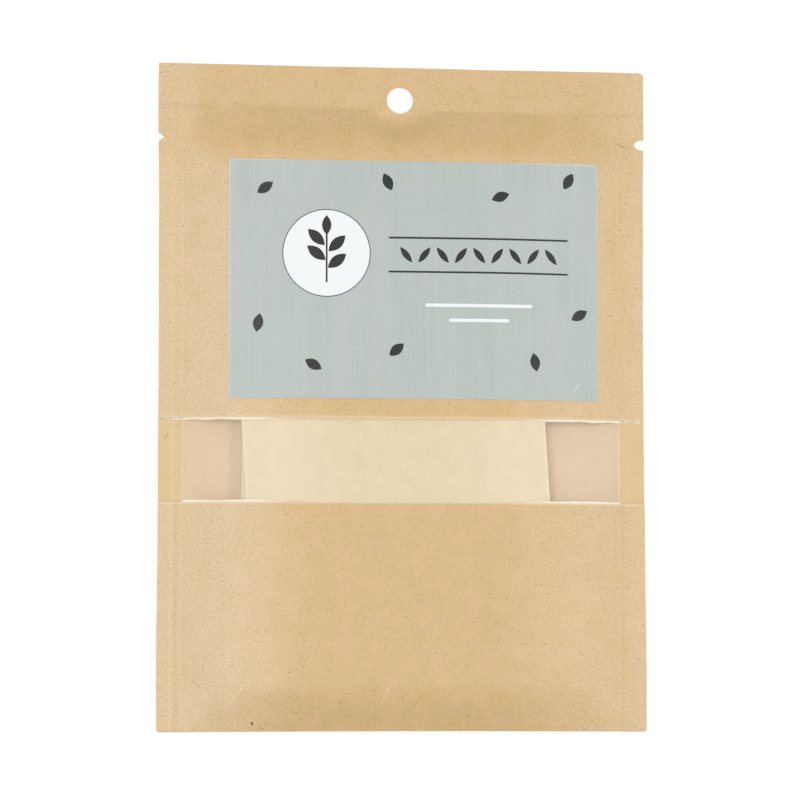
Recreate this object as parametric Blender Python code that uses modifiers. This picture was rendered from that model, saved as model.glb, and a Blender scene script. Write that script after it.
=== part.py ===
"""Pack of one-cup paper tea filters in a flat brown paper pouch with a strip window.

The pack lies on its back: the front faces +Z, the pouch's top edge faces +Y and its width runs along X. The origin is
below the middle of the pack, on the surface that it lies on. One sheet makes the back, the bottom fold and the lower
front. A second sheet makes the upper front, and a clear film closes the strip between them. The filters lie square on
each other inside, except the top one, which is turned by a few degrees, and the pouch is sized to go round them.

Heights follow the stack: every sheet takes its height from the same section across the pack and the same slopes at the
pack's two ends, so sheets that lie on each other stay parallel.
"""

from math import cos, pi, radians, sin

import bmesh
import bpy
from mathutils import Matrix

MM = 0.001

# Filters
FILTER_COUNT = 25
FILTER_WIDTH = 68.8 * MM
FILTER_LENGTH = 115.5 * MM
FILTER_PLY = 0.06 * MM
FILTER_SIDE_SEAM = 6.0 * MM
FILTER_BOTTOM_SEAM = 5.0 * MM
SEAM_SLACK = 0.01 * MM  # room that the two plies keep at the edge of the stack
POCKET_LOFT = 0.09 * MM  # how much thicker each filter is along its middle than at the edge of the stack
TOP_FILTER_TURN = radians(3.6)
STACK_SHIFT = -2.25 * MM  # the stack lies this far off the middle of the pack

# Sheets of the pouch
PAPER = 0.16 * MM
FILM = 0.08 * MM
LABEL_PAPER = 0.10 * MM
SHEET_GAP = 0.05 * MM  # between sheets that lie on each other

# Pouch round the stack
SIDE_SEAL = 5.6 * MM
TOP_SEAL = 9.7 * MM
SIDE_SLOPE = 10.2 * MM
TOP_SLOPE = 12.0 * MM
BOTTOM_SLOPE = 11.2 * MM
SEAL_LIFT = 2.0 * MM  # the seals' height above the surface that the pack lies on
CROWN_START_INSET = 19.4 * MM  # the stack begins to thin this far inside its filters' edges
CROWN_END_INSET = 2.4 * MM  # and thins evenly from here outwards

# Window and label
WINDOW_ABOVE_BOTTOM = 51.9 * MM
WINDOW_HEIGHT = 18.6 * MM
FILM_LAP = 6.0 * MM
LABEL_WIDTH = 85.0 * MM
LABEL_HEIGHT = 55.0 * MM
LABEL_ABOVE_WINDOW = 4.5 * MM
LABEL_OFF_CENTRE = 2.6 * MM

# Hang hole and tear notches
HOLE_DIAMETER = 6.0 * MM
HOLE_BELOW_TOP = 7.7 * MM
HOLE_OFF_CENTRE = -0.8 * MM
NOTCH_BELOW_TOP = 17.1 * MM
NOTCH_HEIGHT = 2.4 * MM
RIGHT_NOTCH_DEPTH = 2.1 * MM
LEFT_NOTCH_DEPTH = 1.0 * MM

# Fineness of the curves
BEND_STEPS = 4
END_STEPS = 5
BACK_STEPS = 3
FOLD_STEPS = 4
HOLE_SIDES = 32
NOTCH_SIDES = 24

# Worked out from the sizes above
REACH_X = (
    FILTER_WIDTH / 2 * cos(TOP_FILTER_TURN)
    + FILTER_LENGTH / 2 * sin(TOP_FILTER_TURN)
    + abs(STACK_SHIFT)
)
REACH_Y = FILTER_LENGTH / 2 * cos(TOP_FILTER_TURN) + FILTER_WIDTH / 2 * sin(TOP_FILTER_TURN)
SEAL_INNER_X = REACH_X + SIDE_SLOPE
HALF_WIDTH = SEAL_INNER_X + SIDE_SEAL
POUCH_HEIGHT = BOTTOM_SLOPE + 2 * REACH_Y + TOP_SLOPE + TOP_SEAL
TOP_Y = POUCH_HEIGHT / 2
BOTTOM_Y = -POUCH_HEIGHT / 2
STACK_LOW_Y = BOTTOM_Y + BOTTOM_SLOPE
STACK_HIGH_Y = STACK_LOW_Y + 2 * REACH_Y
STACK_CENTRE_Y = (STACK_LOW_Y + STACK_HIGH_Y) / 2
SEAL_LOW_Y = TOP_Y - TOP_SEAL
WINDOW_LOW_Y = BOTTOM_Y + WINDOW_ABOVE_BOTTOM
WINDOW_HIGH_Y = WINDOW_LOW_Y + WINDOW_HEIGHT
LABEL_CENTRE_Y = WINDOW_HIGH_Y + LABEL_ABOVE_WINDOW + LABEL_HEIGHT / 2
CROWN_START_X = FILTER_WIDTH / 2 - CROWN_START_INSET
CROWN_END_X = FILTER_WIDTH / 2 - CROWN_END_INSET
EDGE_PITCH = 2 * FILTER_PLY + SEAM_SLACK + SHEET_GAP
STACK_BASE = PAPER + SHEET_GAP
SEALED_FILM = SEAL_LIFT + PAPER + SHEET_GAP
FOLD_RADIUS = (PAPER + FILM) / 2 + SHEET_GAP
FOLD_CENTRE_Y = BOTTOM_Y + FOLD_RADIUS + PAPER / 2
CUT_MARGIN = 2.0 * MM  # how far a cutter or a blank runs past what it cuts


def steps(start, end, count):
    """Evenly spaced values from start to end, without the first."""
    return [start + (end - start) * k / count for k in range(1, count + 1)]


def mirrored(half):
    """The stations of one half of the pack, from the middle outwards, on both sides of it."""
    return [-x for x in reversed(half)] + list(half)


SECTION_HALF = (
    [CROWN_START_X]
    + steps(CROWN_START_X, CROWN_END_X, BEND_STEPS)
    + [REACH_X]
    + steps(REACH_X, SEAL_INNER_X, BACK_STEPS)
    + [HALF_WIDTH]
)
SECTION_X = mirrored(SECTION_HALF)
STACK_X = mirrored(SECTION_HALF[: BEND_STEPS + 2] + [REACH_X + CUT_MARGIN])
BOTTOM_RUN = [FOLD_CENTRE_Y] + steps(FOLD_CENTRE_Y, STACK_LOW_Y, END_STEPS)
TOP_RUN = [STACK_HIGH_Y] + steps(STACK_HIGH_Y, SEAL_LOW_Y, END_STEPS) + [TOP_Y]


def pitch(x):
    """Height that each filter adds to the stack at this distance across the pack."""
    bend = CROWN_END_X - CROWN_START_X
    full_drop = bend / 2 + REACH_X - CROWN_END_X
    past = min(abs(x), REACH_X) - CROWN_START_X
    if past <= 0:
        drop = 0.0
    elif past <= bend:
        drop = past * past / (2 * bend)
    else:
        drop = past - bend / 2
    return EDGE_PITCH + POCKET_LOFT * (1 - drop / full_drop)


def end_rise(y):
    """0 at the pouch's two ends and 1 along the stack, rounded where a sheet leaves the stack."""
    if y < STACK_LOW_Y:
        share = (y - FOLD_CENTRE_Y) / (STACK_LOW_Y - FOLD_CENTRE_Y)
    else:
        share = (SEAL_LOW_Y - y) / (SEAL_LOW_Y - STACK_HIGH_Y)
    return sin(min(max(share, 0.0), 1.0) * pi / 2)


def side_fall(x):
    """0 over the stack and 1 at the side seals."""
    return min(max((abs(x) - REACH_X) / (SEAL_INNER_X - REACH_X), 0.0), 1.0)


def film_underside(x, y):
    """Height of the surface that the clear film lies on."""
    over_stack = STACK_BASE + FILTER_COUNT * pitch(x)
    section = over_stack + (SEALED_FILM - over_stack) * side_fall(x)
    return SEALED_FILM + (section - SEALED_FILM) * end_rise(y)


def front_underside(x, y):
    return film_underside(x, y) + FILM + SHEET_GAP


def label_underside(x, y):
    return front_underside(x, y) + PAPER + SHEET_GAP


def back_underside(x, y):
    """Height of the pack's back: flat under the stack, and curving up to the seals round it."""
    flat = (1 - side_fall(x) ** 2) * (1 - (1 - end_rise(y)) ** 2)
    return SEAL_LIFT * (1 - flat)


def make_collection(name):
    found = bpy.data.collections.new(name)
    bpy.context.scene.collection.children.link(found)
    return found


def make_material(name, colour, roughness, alpha=1.0):
    material = bpy.data.materials.new(name)
    material.use_nodes = True
    shader = material.node_tree.nodes["Principled BSDF"]
    shader.inputs["Base Color"].default_value = (*colour, 1.0)
    shader.inputs["Roughness"].default_value = roughness
    shader.inputs["Metallic"].default_value = 0.0
    shader.inputs["Alpha"].default_value = alpha
    return material


def make_object(name, bm, collection):
    mesh = bpy.data.meshes.new(name)
    bmesh.ops.recalc_face_normals(bm, faces=bm.faces)
    bm.to_mesh(mesh)
    bm.free()
    made = bpy.data.objects.new(name, mesh)
    collection.objects.link(made)
    return made


def station_grid(columns, rows, place):
    """A grid with one vertex for each column and row, put where place(column, row) says."""
    bm = bmesh.new()
    across, along = len(columns) - 1, len(rows) - 1
    bmesh.ops.create_grid(bm, x_segments=across, y_segments=along, size=1.0)
    for vertex in bm.verts:
        column = round((vertex.co.x + 1) / 2 * across)
        row = round((vertex.co.y + 1) / 2 * along)
        vertex.co = place(columns[column], rows[row])
    return bm


def make_layer(name, xs, ys, lower, upper, collection):
    """A closed sheet over the stations xs and ys, between the heights lower(x, y) and upper(x, y)."""
    bm = station_grid(xs, ys, lambda x, y: (x, y, lower(x, y)))
    made = bmesh.ops.extrude_face_region(bm, geom=bm.faces[:])
    for item in made["geom"]:
        if isinstance(item, bmesh.types.BMVert):
            item.co.z = upper(item.co.x, item.co.y)
    return make_object(name, bm, collection)


def make_box(name, x_range, y_range, z_range, collection):
    bm = bmesh.new()
    bmesh.ops.create_cube(bm, size=1.0)
    size = [high - low for low, high in (x_range, y_range, z_range)]
    middle = [(high + low) / 2 for low, high in (x_range, y_range, z_range)]
    bmesh.ops.transform(bm, matrix=Matrix.Translation(middle) @ Matrix.Diagonal((*size, 1.0)), verts=bm.verts)
    return make_object(name, bm, collection)


def make_punch(name, centre, radii, sides, collection):
    """An upright oval punch, taller than the pack is thick."""
    bm = bmesh.new()
    bmesh.ops.create_cone(
        bm, cap_ends=True, segments=sides, radius1=radii[0], radius2=radii[0], depth=2 * cut_height()
    )
    bmesh.ops.scale(bm, vec=(1.0, radii[1] / radii[0], 1.0), verts=bm.verts)
    punch = make_object(name, bm, collection)
    punch.location = (*centre, 0.0)
    hide_cutter(punch)
    return punch


def hide_cutter(cutter):
    cutter.hide_render = True
    cutter.display_type = "WIRE"


def cut_height():
    return label_underside(0.0, STACK_CENTRE_Y) + CUT_MARGIN


def add_boolean(target, cutter, operation):
    modifier = target.modifiers.new(f"{operation.lower()} {cutter.name}", "BOOLEAN")
    modifier.operation = operation
    modifier.solver = "EXACT"
    modifier.object = cutter


def trim(target, cutter, operation):
    """Applies one Boolean and removes the cutter, which nothing else uses."""
    add_boolean(target, cutter, operation)
    bpy.context.view_layer.update()
    graph = bpy.context.evaluated_depsgraph_get()
    trimmed = bpy.data.meshes.new_from_object(target.evaluated_get(graph))
    rough = target.data
    target.modifiers.clear()
    target.data = trimmed
    bpy.data.meshes.remove(rough)
    spare = cutter.data
    bpy.data.objects.remove(cutter)
    bpy.data.meshes.remove(spare)
    trimmed.name = target.name


def make_pouch_body(parts):
    """Back, bottom fold and lower front, which are one sheet bent round the pack's bottom edge."""
    back = [(y, "back") for y in reversed(TOP_RUN)]
    back += [(y, "back") for y in reversed(BOTTOM_RUN)]
    fold = [(pi * k / FOLD_STEPS, "fold") for k in range(1, FOLD_STEPS)]
    front = [(y, "front") for y in BOTTOM_RUN] + [(WINDOW_LOW_Y, "front")]

    def place(x, station):
        value, part = station
        if part == "back":
            return x, value, back_underside(x, value) + PAPER / 2
        if part == "front":
            return x, value, front_underside(x, value) + PAPER / 2
        middle = SEAL_LIFT + PAPER / 2 + FOLD_RADIUS
        return x, FOLD_CENTRE_Y - FOLD_RADIUS * sin(value), middle - FOLD_RADIUS * cos(value)

    body = make_object("pouch_body", station_grid(SECTION_X, back + fold + front, place), parts)
    wall = body.modifiers.new("paper", "SOLIDIFY")
    wall.thickness = PAPER
    wall.offset = 0.0
    wall.use_even_offset = True
    return body


def make_upper_front(parts):
    rows = [WINDOW_HIGH_Y] + TOP_RUN
    return make_layer(
        "pouch_upper_front",
        SECTION_X,
        rows,
        front_underside,
        lambda x, y: front_underside(x, y) + PAPER,
        parts,
    )


def make_window_film(parts):
    rows = [WINDOW_LOW_Y - FILM_LAP, WINDOW_HIGH_Y + FILM_LAP]
    return make_layer(
        "window_film", SECTION_X, rows, film_underside, lambda x, y: film_underside(x, y) + FILM, parts
    )


def make_label(parts):
    """A card-sized label stuck on the upper front, so it follows that sheet's section."""
    label = make_layer(
        "label",
        SECTION_X,
        [WINDOW_HIGH_Y] + TOP_RUN,
        label_underside,
        lambda x, y: label_underside(x, y) + LABEL_PAPER,
        parts,
    )
    across = (LABEL_OFF_CENTRE - LABEL_WIDTH / 2, LABEL_OFF_CENTRE + LABEL_WIDTH / 2)
    along = (LABEL_CENTRE_Y - LABEL_HEIGHT / 2, LABEL_CENTRE_Y + LABEL_HEIGHT / 2)
    trim(label, make_box("label outline", across, along, (-CUT_MARGIN, cut_height()), parts), "INTERSECT")
    return label


def filter_place(number):
    """Turn and centre of one filter: only the top one is turned on the others."""
    centre = Matrix.Translation((STACK_SHIFT, STACK_CENTRE_Y, 0.0))
    turn = TOP_FILTER_TURN if number == FILTER_COUNT - 1 else 0.0
    return centre @ Matrix.Rotation(turn, 4, "Z")


def make_filter(number, parts):
    """A flat bag of two plies, joined down its sides and along its bottom and open at its top."""
    rows = [STACK_LOW_Y - CUT_MARGIN, STACK_HIGH_Y + CUT_MARGIN]
    place = filter_place(number)
    tall = (-CUT_MARGIN, cut_height())

    def lower(x, y):
        return STACK_BASE + number * pitch(x)

    def upper(x, y):
        return lower(x, y) + pitch(x) - SHEET_GAP

    def outline(name, side, bottom, top):
        half = FILTER_WIDTH / 2 - side
        low = bottom - FILTER_LENGTH / 2
        high = FILTER_LENGTH / 2 + top
        box = make_box(name, (-half, half), (low, high), tall, parts)
        box.matrix_world = place
        return box

    bag = make_layer(f"tea_filter_{number + 1:02d}", STACK_X, rows, lower, upper, parts)
    trim(bag, outline("filter outline", 0.0, 0.0, 0.0), "INTERSECT")
    pocket = make_layer(
        "pocket",
        STACK_X,
        rows,
        lambda x, y: lower(x, y) + FILTER_PLY,
        lambda x, y: upper(x, y) - FILTER_PLY,
        parts,
    )
    mouth = outline("pocket outline", FILTER_SIDE_SEAM, FILTER_BOTTOM_SEAM, CUT_MARGIN)
    trim(pocket, mouth, "INTERSECT")
    trim(bag, pocket, "DIFFERENCE")
    return bag


def main():
    for old in list(bpy.data.objects):
        bpy.data.objects.remove(old)
    parts = make_collection("paper_tea_filter_pack")
    cutters = make_collection("cutters")

    brown_paper = make_material("brown paper", (0.72, 0.53, 0.31), 0.8)
    clear_film = make_material("clear film", (0.95, 0.95, 0.93), 0.15, alpha=0.3)
    label_stock = make_material("printed label paper", (0.51, 0.56, 0.53), 0.6)
    filter_paper = make_material("filter paper", (0.84, 0.71, 0.49), 0.9)

    body = make_pouch_body(parts)
    upper_front = make_upper_front(parts)
    film = make_window_film(parts)
    label = make_label(parts)
    filters = [make_filter(number, parts) for number in range(FILTER_COUNT)]

    hole = (HOLE_DIAMETER / 2, HOLE_DIAMETER / 2)
    punches = [
        make_punch("hang hole punch", (HOLE_OFF_CENTRE, TOP_Y - HOLE_BELOW_TOP), hole, HOLE_SIDES, cutters)
    ]
    for side, depth in ((-1, LEFT_NOTCH_DEPTH), (1, RIGHT_NOTCH_DEPTH)):
        centre = (side * HALF_WIDTH, TOP_Y - NOTCH_BELOW_TOP)
        punches.append(make_punch("tear notch punch", centre, (depth, NOTCH_HEIGHT / 2), NOTCH_SIDES, cutters))
    for sheet in (body, upper_front):
        for punch in punches:
            add_boolean(sheet, punch, "DIFFERENCE")

    dressed = [(body, brown_paper), (upper_front, brown_paper), (film, clear_film), (label, label_stock)]
    dressed += [(bag, filter_paper) for bag in filters]
    pack = bpy.data.objects.new("pack", None)
    parts.objects.link(pack)
    for piece, material in dressed:
        piece.data.materials.clear()
        piece.data.materials.append(material)
        piece.parent = pack


main()
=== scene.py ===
"""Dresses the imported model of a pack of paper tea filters: a brown pouch with a strip window and a label.

Sizes are millimetres, named for what they measure, and turn to metres where a mesh or a lamp takes them.
Every sheet takes its height from PackForm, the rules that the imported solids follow, so sheets that lie on
each other stay parallel.
"""

import logging
from collections.abc import Callable, Sequence
from dataclasses import dataclass, field
from enum import Enum
from math import atan2, cos, degrees, hypot, pi, radians, sin
from typing import ClassVar

import bpy
import numpy as np
from mathutils import Matrix, Vector


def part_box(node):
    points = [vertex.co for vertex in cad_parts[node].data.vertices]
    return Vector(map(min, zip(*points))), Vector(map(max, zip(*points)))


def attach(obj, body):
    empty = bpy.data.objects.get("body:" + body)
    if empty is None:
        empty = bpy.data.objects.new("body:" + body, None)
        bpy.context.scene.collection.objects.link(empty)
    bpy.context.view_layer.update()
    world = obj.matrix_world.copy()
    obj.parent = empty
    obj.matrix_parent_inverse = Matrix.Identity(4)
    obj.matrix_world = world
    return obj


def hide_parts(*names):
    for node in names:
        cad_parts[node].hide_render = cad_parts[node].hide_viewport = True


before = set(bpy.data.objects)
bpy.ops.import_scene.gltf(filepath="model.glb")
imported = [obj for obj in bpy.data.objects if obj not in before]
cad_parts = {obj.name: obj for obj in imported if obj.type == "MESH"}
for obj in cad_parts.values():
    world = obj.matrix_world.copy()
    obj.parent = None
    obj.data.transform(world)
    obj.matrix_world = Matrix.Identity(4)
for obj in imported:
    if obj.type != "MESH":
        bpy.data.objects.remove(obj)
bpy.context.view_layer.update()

MM = 0.001
PHOTO_WIDTH = 800
WHITE = (1.0, 1.0, 1.0, 1.0)
log = logging.getLogger("tea_filter_pack")

Array = np.ndarray
Colour = tuple[float, float, float, float]
Point = tuple[float, float]
Socket = bpy.types.NodeSocket
Object = bpy.types.Object
Material = bpy.types.Material


def colour(code: str) -> Colour:
    """Turns an sRGB hex colour to linear.

    Args:
        code: the colour as #RRGGBB.

    Returns:
        Linear red, green and blue, and an alpha of 1.
    """
    levels = [int(code[k : k + 2], 16) / 255 for k in (1, 3, 5)]
    linear = [v / 12.92 if v <= 0.04045 else ((v + 0.055) / 1.055) ** 2.4 for v in levels]
    return (linear[0], linear[1], linear[2], 1.0)


def node_box(name: str) -> tuple[Vector, Vector]:
    """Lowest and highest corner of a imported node, in millimetres."""
    low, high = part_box(name)
    return low / MM, high / MM


class Shape(Enum):
    """Outline of a flat mark on a sheet."""

    BAR = "bar"
    OVAL = "oval"
    LEAF = "leaf"


class Run(Enum):
    """Part of the sheet that goes round the pack's bottom edge."""

    BACK = "back"
    FOLD = "fold"
    FRONT = "front"


@dataclass
class Graph:
    """The node graph of one material or world."""

    tree: bpy.types.NodeTree

    def add(
        self, kind: str, inputs: dict | None = None, output: int | str = 0, **settings: object
    ) -> Socket | None:
        """Adds a node with its settings and links.

        Args:
            kind: the shader node's type, without the words ShaderNode.
            inputs: a value or a socket to link for each input, by name or number.
            output: the output to return, by name or number.
            **settings: properties of the node.

        Returns:
            The output socket, or None for a node that has none.
        """
        node = self.tree.nodes.new(f"ShaderNode{kind}")
        for key, value in settings.items():
            setattr(node, key, value)
        for key, value in (inputs or {}).items():
            if isinstance(value, Socket):
                self.tree.links.new(value, node.inputs[key])
            else:
                node.inputs[key].default_value = value
        return node.outputs[output] if node.outputs else None

    def band(self, value: Socket, full: float, none: float) -> Socket:
        """A smooth fall from 1 to 0 between two values, either of which may be the larger.

        Args:
            value: the socket to read.
            full: the value at which, and on whose far side, the result is 1.
            none: the value at which, and on whose far side, it is 0.

        Returns:
            The result's socket.
        """
        span = {0: value, 1: full, 2: none, 3: 1.0, 4: 0.0}
        return self.add("MapRange", span, interpolation_type="SMOOTHSTEP")

    def stripe(self, value: Socket, centre: float, core: float, reach: float) -> Socket:
        """1 where a value is near centre, falling smoothly to 0 off it.

        Args:
            value: the socket to read.
            centre: the stripe's middle.
            core: how far from it the result is still 1.
            reach: how far from it the result is 0.

        Returns:
            The result's socket.
        """
        off = self.add("Math", {0: value, 1: centre}, operation="SUBTRACT")
        off = self.add("Math", {0: off}, operation="ABSOLUTE")
        return self.band(off, core, reach)

    def blend(self, amount: Socket, under: Socket | str, over: Socket | str, share: float = 1.0) -> Socket:
        """A colour that goes from under to over as amount goes from 0 to 1.

        Args:
            amount: how much of over shows.
            under: a colour's socket or hex code.
            over: the other colour's.
            share: what amount is multiplied by first.

        Returns:
            The colour's socket.
        """
        if share != 1.0:
            amount = self.add("Math", {0: amount, 1: share}, operation="MULTIPLY")
        under, over = (colour(end) if isinstance(end, str) else end for end in (under, over))
        return self.add("Mix", {0: amount, 6: under, 7: over}, output=2, data_type="RGBA")

    def layered(self, base: Socket | float, *layers: tuple[Socket, Socket | float]) -> Socket:
        """A value with layers added to it.

        Args:
            base: the value.
            *layers: each layer's socket, and what it is multiplied by.

        Returns:
            The sum's socket.
        """
        for layer, amount in layers:
            base = self.add("Math", {0: layer, 1: amount, 2: base}, operation="MULTIPLY_ADD")
        return base

    def strongest(self, *masks: tuple[Socket, float]) -> Socket:
        """The strongest of some masks at each place.

        Args:
            *masks: each mask's socket, and what it is multiplied by.

        Returns:
            The result's socket.
        """
        total: Socket | float = 0.0
        for mask, amount in masks:
            part = self.add("Math", {0: mask, 1: amount}, operation="MULTIPLY")
            total = self.add("Math", {0: total, 1: part}, operation="MAXIMUM")
        return total

    def surface(
        self, body: Socket, rough: Socket | float, relief: Socket, strength: float, depth: float
    ) -> Socket:
        """A surface of paper with a fine relief.

        Args:
            body: its colour.
            rough: its roughness.
            relief: its height.
            strength: how strongly the relief shows.
            depth: the relief's depth in millimetres.

        Returns:
            The shader's socket.
        """
        bump = self.add("Bump", {"Strength": strength, "Distance": depth * MM, "Height": relief})
        finish = {"Base Color": body, "Roughness": rough, "IOR": 1.5, "Normal": bump}
        return self.add("BsdfPrincipled", finish)

    def place(self) -> Socket:
        """Object coordinates in millimetres."""
        metres = self.add("TexCoord", output="Object")
        return self.add("VectorMath", {0: metres, 3: 1 / MM}, operation="SCALE")


class Finish:
    """A surface finish, which builds its own material."""

    title: ClassVar[str]

    def shader(self, graph: Graph) -> Socket:
        """Adds the finish's nodes and gives the last one's socket."""
        raise NotImplementedError

    def material(self) -> Material:
        """Builds the material."""
        material = bpy.data.materials.new(self.title)
        material.use_nodes = True
        material.node_tree.nodes.clear()
        graph = Graph(material.node_tree)
        graph.add("OutputMaterial", {"Surface": self.shader(graph)})
        return material


@dataclass(frozen=True)
class Mark:
    """A flat mark on a sheet.

    Attributes:
        shape: its outline.
        centre: where it is.
        size: its length and width.
        turn: its angle in degrees, counter-clockwise.
        edge: the share of its size over which it fades.
    """

    shape: Shape
    centre: Point
    size: Point
    turn: float = 0.0
    edge: float = 0.15

    @classmethod
    def between(cls, start: Point, end: Point, width: float) -> "Mark":
        """A thin bar from one point to another, fading over most of its width."""
        run, rise = end[0] - start[0], end[1] - start[1]
        middle = ((start[0] + end[0]) / 2, (start[1] + end[1]) / 2)
        return cls(Shape.BAR, middle, (hypot(run, rise), width), degrees(atan2(rise, run)), 0.6)

    def mask(self, graph: Graph, place: Socket) -> Socket:
        """1 on the mark and 0 off it.

        Args:
            graph: the graph to add to.
            place: the sheet's coordinates in millimetres.

        Returns:
            The mask's socket.
        """
        turn = (0.0, 0.0, radians(self.turn))
        half = (self.size[0] / 2, self.size[1] / 2, 1.0)
        settings = {0: place, 1: (*self.centre, 0.0), 2: turn, 3: half}
        own = graph.add("Mapping", settings, vector_type="TEXTURE")
        own = graph.add("VectorMath", {0: own, 1: (1.0, 1.0, 0.0)}, operation="MULTIPLY")
        if self.shape is Shape.OVAL:
            reach = graph.add("VectorMath", {0: own}, output="Value", operation="LENGTH")
            return graph.band(reach, 1 - self.edge, 1.0)
        bare = graph.add("VectorMath", {0: own}, operation="ABSOLUTE")
        split = graph.add("SeparateXYZ", {0: bare}).node.outputs
        if self.shape is Shape.BAR:
            reach = graph.add("Math", {0: split[0], 1: split[1]}, operation="MAXIMUM")
        else:
            reach = graph.layered(split[1], (split[0], split[0]))
        return graph.band(reach, 1 - self.edge, 1.0)


@dataclass(frozen=True)
class Strands:
    """Short bowed fibres, one in each cell of a random tiling.

    Attributes:
        cell: the tiling's mean spacing.
        length: how long a fibre is.
        width: how wide it is.
        bow: how far its middle stands out of a straight line, per millimetre of half length squared.
        shift: moves the tiling, so that layers differ.
        rarity: the higher, the fewer fibres are strong.
        spread: the largest angle between a fibre and the sheet's running direction, in radians.
    """

    cell: float
    length: float
    width: float
    bow: float
    shift: float
    rarity: float = 3.0
    spread: float = 1.1

    def mask(self, graph: Graph, place: Socket) -> Socket:
        """Strength of the fibres, which differs from one to the next.

        Args:
            graph: the graph to add to.
            place: the sheet's coordinates in millimetres.

        Returns:
            The mask's socket.
        """
        moved = graph.add("VectorMath", {0: place, 1: (self.shift, self.shift / 2, 0.0)}, operation="ADD")
        tiling = {"Vector": moved, "Scale": 1 / self.cell}
        centre = graph.add("TexVoronoi", tiling, output="Position", voronoi_dimensions="2D")
        draw = graph.add("SeparateColor", {0: centre.node.outputs["Color"]}).node.outputs
        own = graph.add("VectorMath", {0: moved, 1: centre}, operation="SUBTRACT")
        angle = graph.add("MapRange", {0: draw[0], 3: -self.spread, 4: self.spread})
        own = graph.add("VectorRotate", {"Vector": own, "Angle": angle}, rotation_type="Z_AXIS")
        split = graph.add("SeparateXYZ", {0: own}).node.outputs
        squared = graph.add("Math", {0: split[0], 1: split[0]}, operation="MULTIPLY")
        bend = graph.add("MapRange", {0: draw[1], 3: -self.bow, 4: self.bow})
        bowed = graph.layered(split[1], (squared, bend))
        line = graph.stripe(bowed, 0.0, 0.3 * self.width, 0.75 * self.width)
        ends = graph.stripe(split[0], 0.0, 0.3 * self.length, 0.5 * self.length)
        mask = graph.add("Math", {0: line, 1: ends}, operation="MULTIPLY")
        strength = graph.add("Math", {0: draw[2], 1: self.rarity}, operation="POWER")
        return graph.add("Math", {0: mask, 1: strength}, operation="MULTIPLY")


@dataclass(frozen=True)
class Waves:
    """A smooth random surface, a sum of sine waves with seeded directions.

    Attributes:
        seed: the draw.
        longest: the longest wave.
        shortest: the shortest wave.
        count: how many waves.
        fall: how much lower the shortest wave is than the longest, as a share.
        calm: what the sum is divided by, beside the root of the waves' number, to keep it mostly between -1
            and 1.
    """

    seed: int
    longest: float
    shortest: float
    count: int = 14
    fall: float = 0.6
    calm: float = 1.2 * 0.7**0.5

    def at(self, x: Array, y: Array) -> Array:
        """The surface's height, mostly between -1 and 1."""
        draw = np.random.default_rng(self.seed)
        total = np.zeros_like(x, dtype=float)
        for share in np.linspace(0.0, 1.0, self.count):
            wave = self.longest * (self.shortest / self.longest) ** share
            angle, phase = draw.uniform(0, 2 * pi, 2)
            height = 1 - self.fall * share
            total += np.sin(2 * pi / wave * (x * cos(angle) + y * sin(angle)) + phase) * height
        return total / (self.calm * self.count**0.5)


def eased(value: Array, near: float, far: float) -> Array:
    """A smooth rise from 0 where value is near to 1 where it is far."""
    share = np.clip((value - near) / (far - near), 0.0, 1.0)
    return share * share * (3 - 2 * share)


@dataclass(frozen=True)
class Ridge:
    """A low ridge, or a groove, that a sealing bar pressed into the front.

    Attributes:
        inset: how far in from the edge it runs.
        width: how far from its middle it has fallen to a third.
        rise: its height, below 0 for a groove.
    """

    inset: float
    width: float
    rise: float

    def at(self, off: Array) -> Array:
        """Its height at this distance in from the edge."""
        return self.rise * np.exp(-(((off - self.inset) / self.width) ** 2))


@dataclass(frozen=True)
class SideLine:
    """How far in from its straight line one side edge of the pouch is trimmed.

    Attributes:
        base: how far in at the middle.
        steps: its smooth steps outward: how far, from where and to where along the pouch.
    """

    base: float
    steps: tuple[tuple[float, float, float], ...]

    def at(self, y: Array) -> Array:
        """How far in the edge lies at this place along it."""
        return self.base - sum(out * eased(y, start, end) for out, start, end in self.steps)


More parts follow.
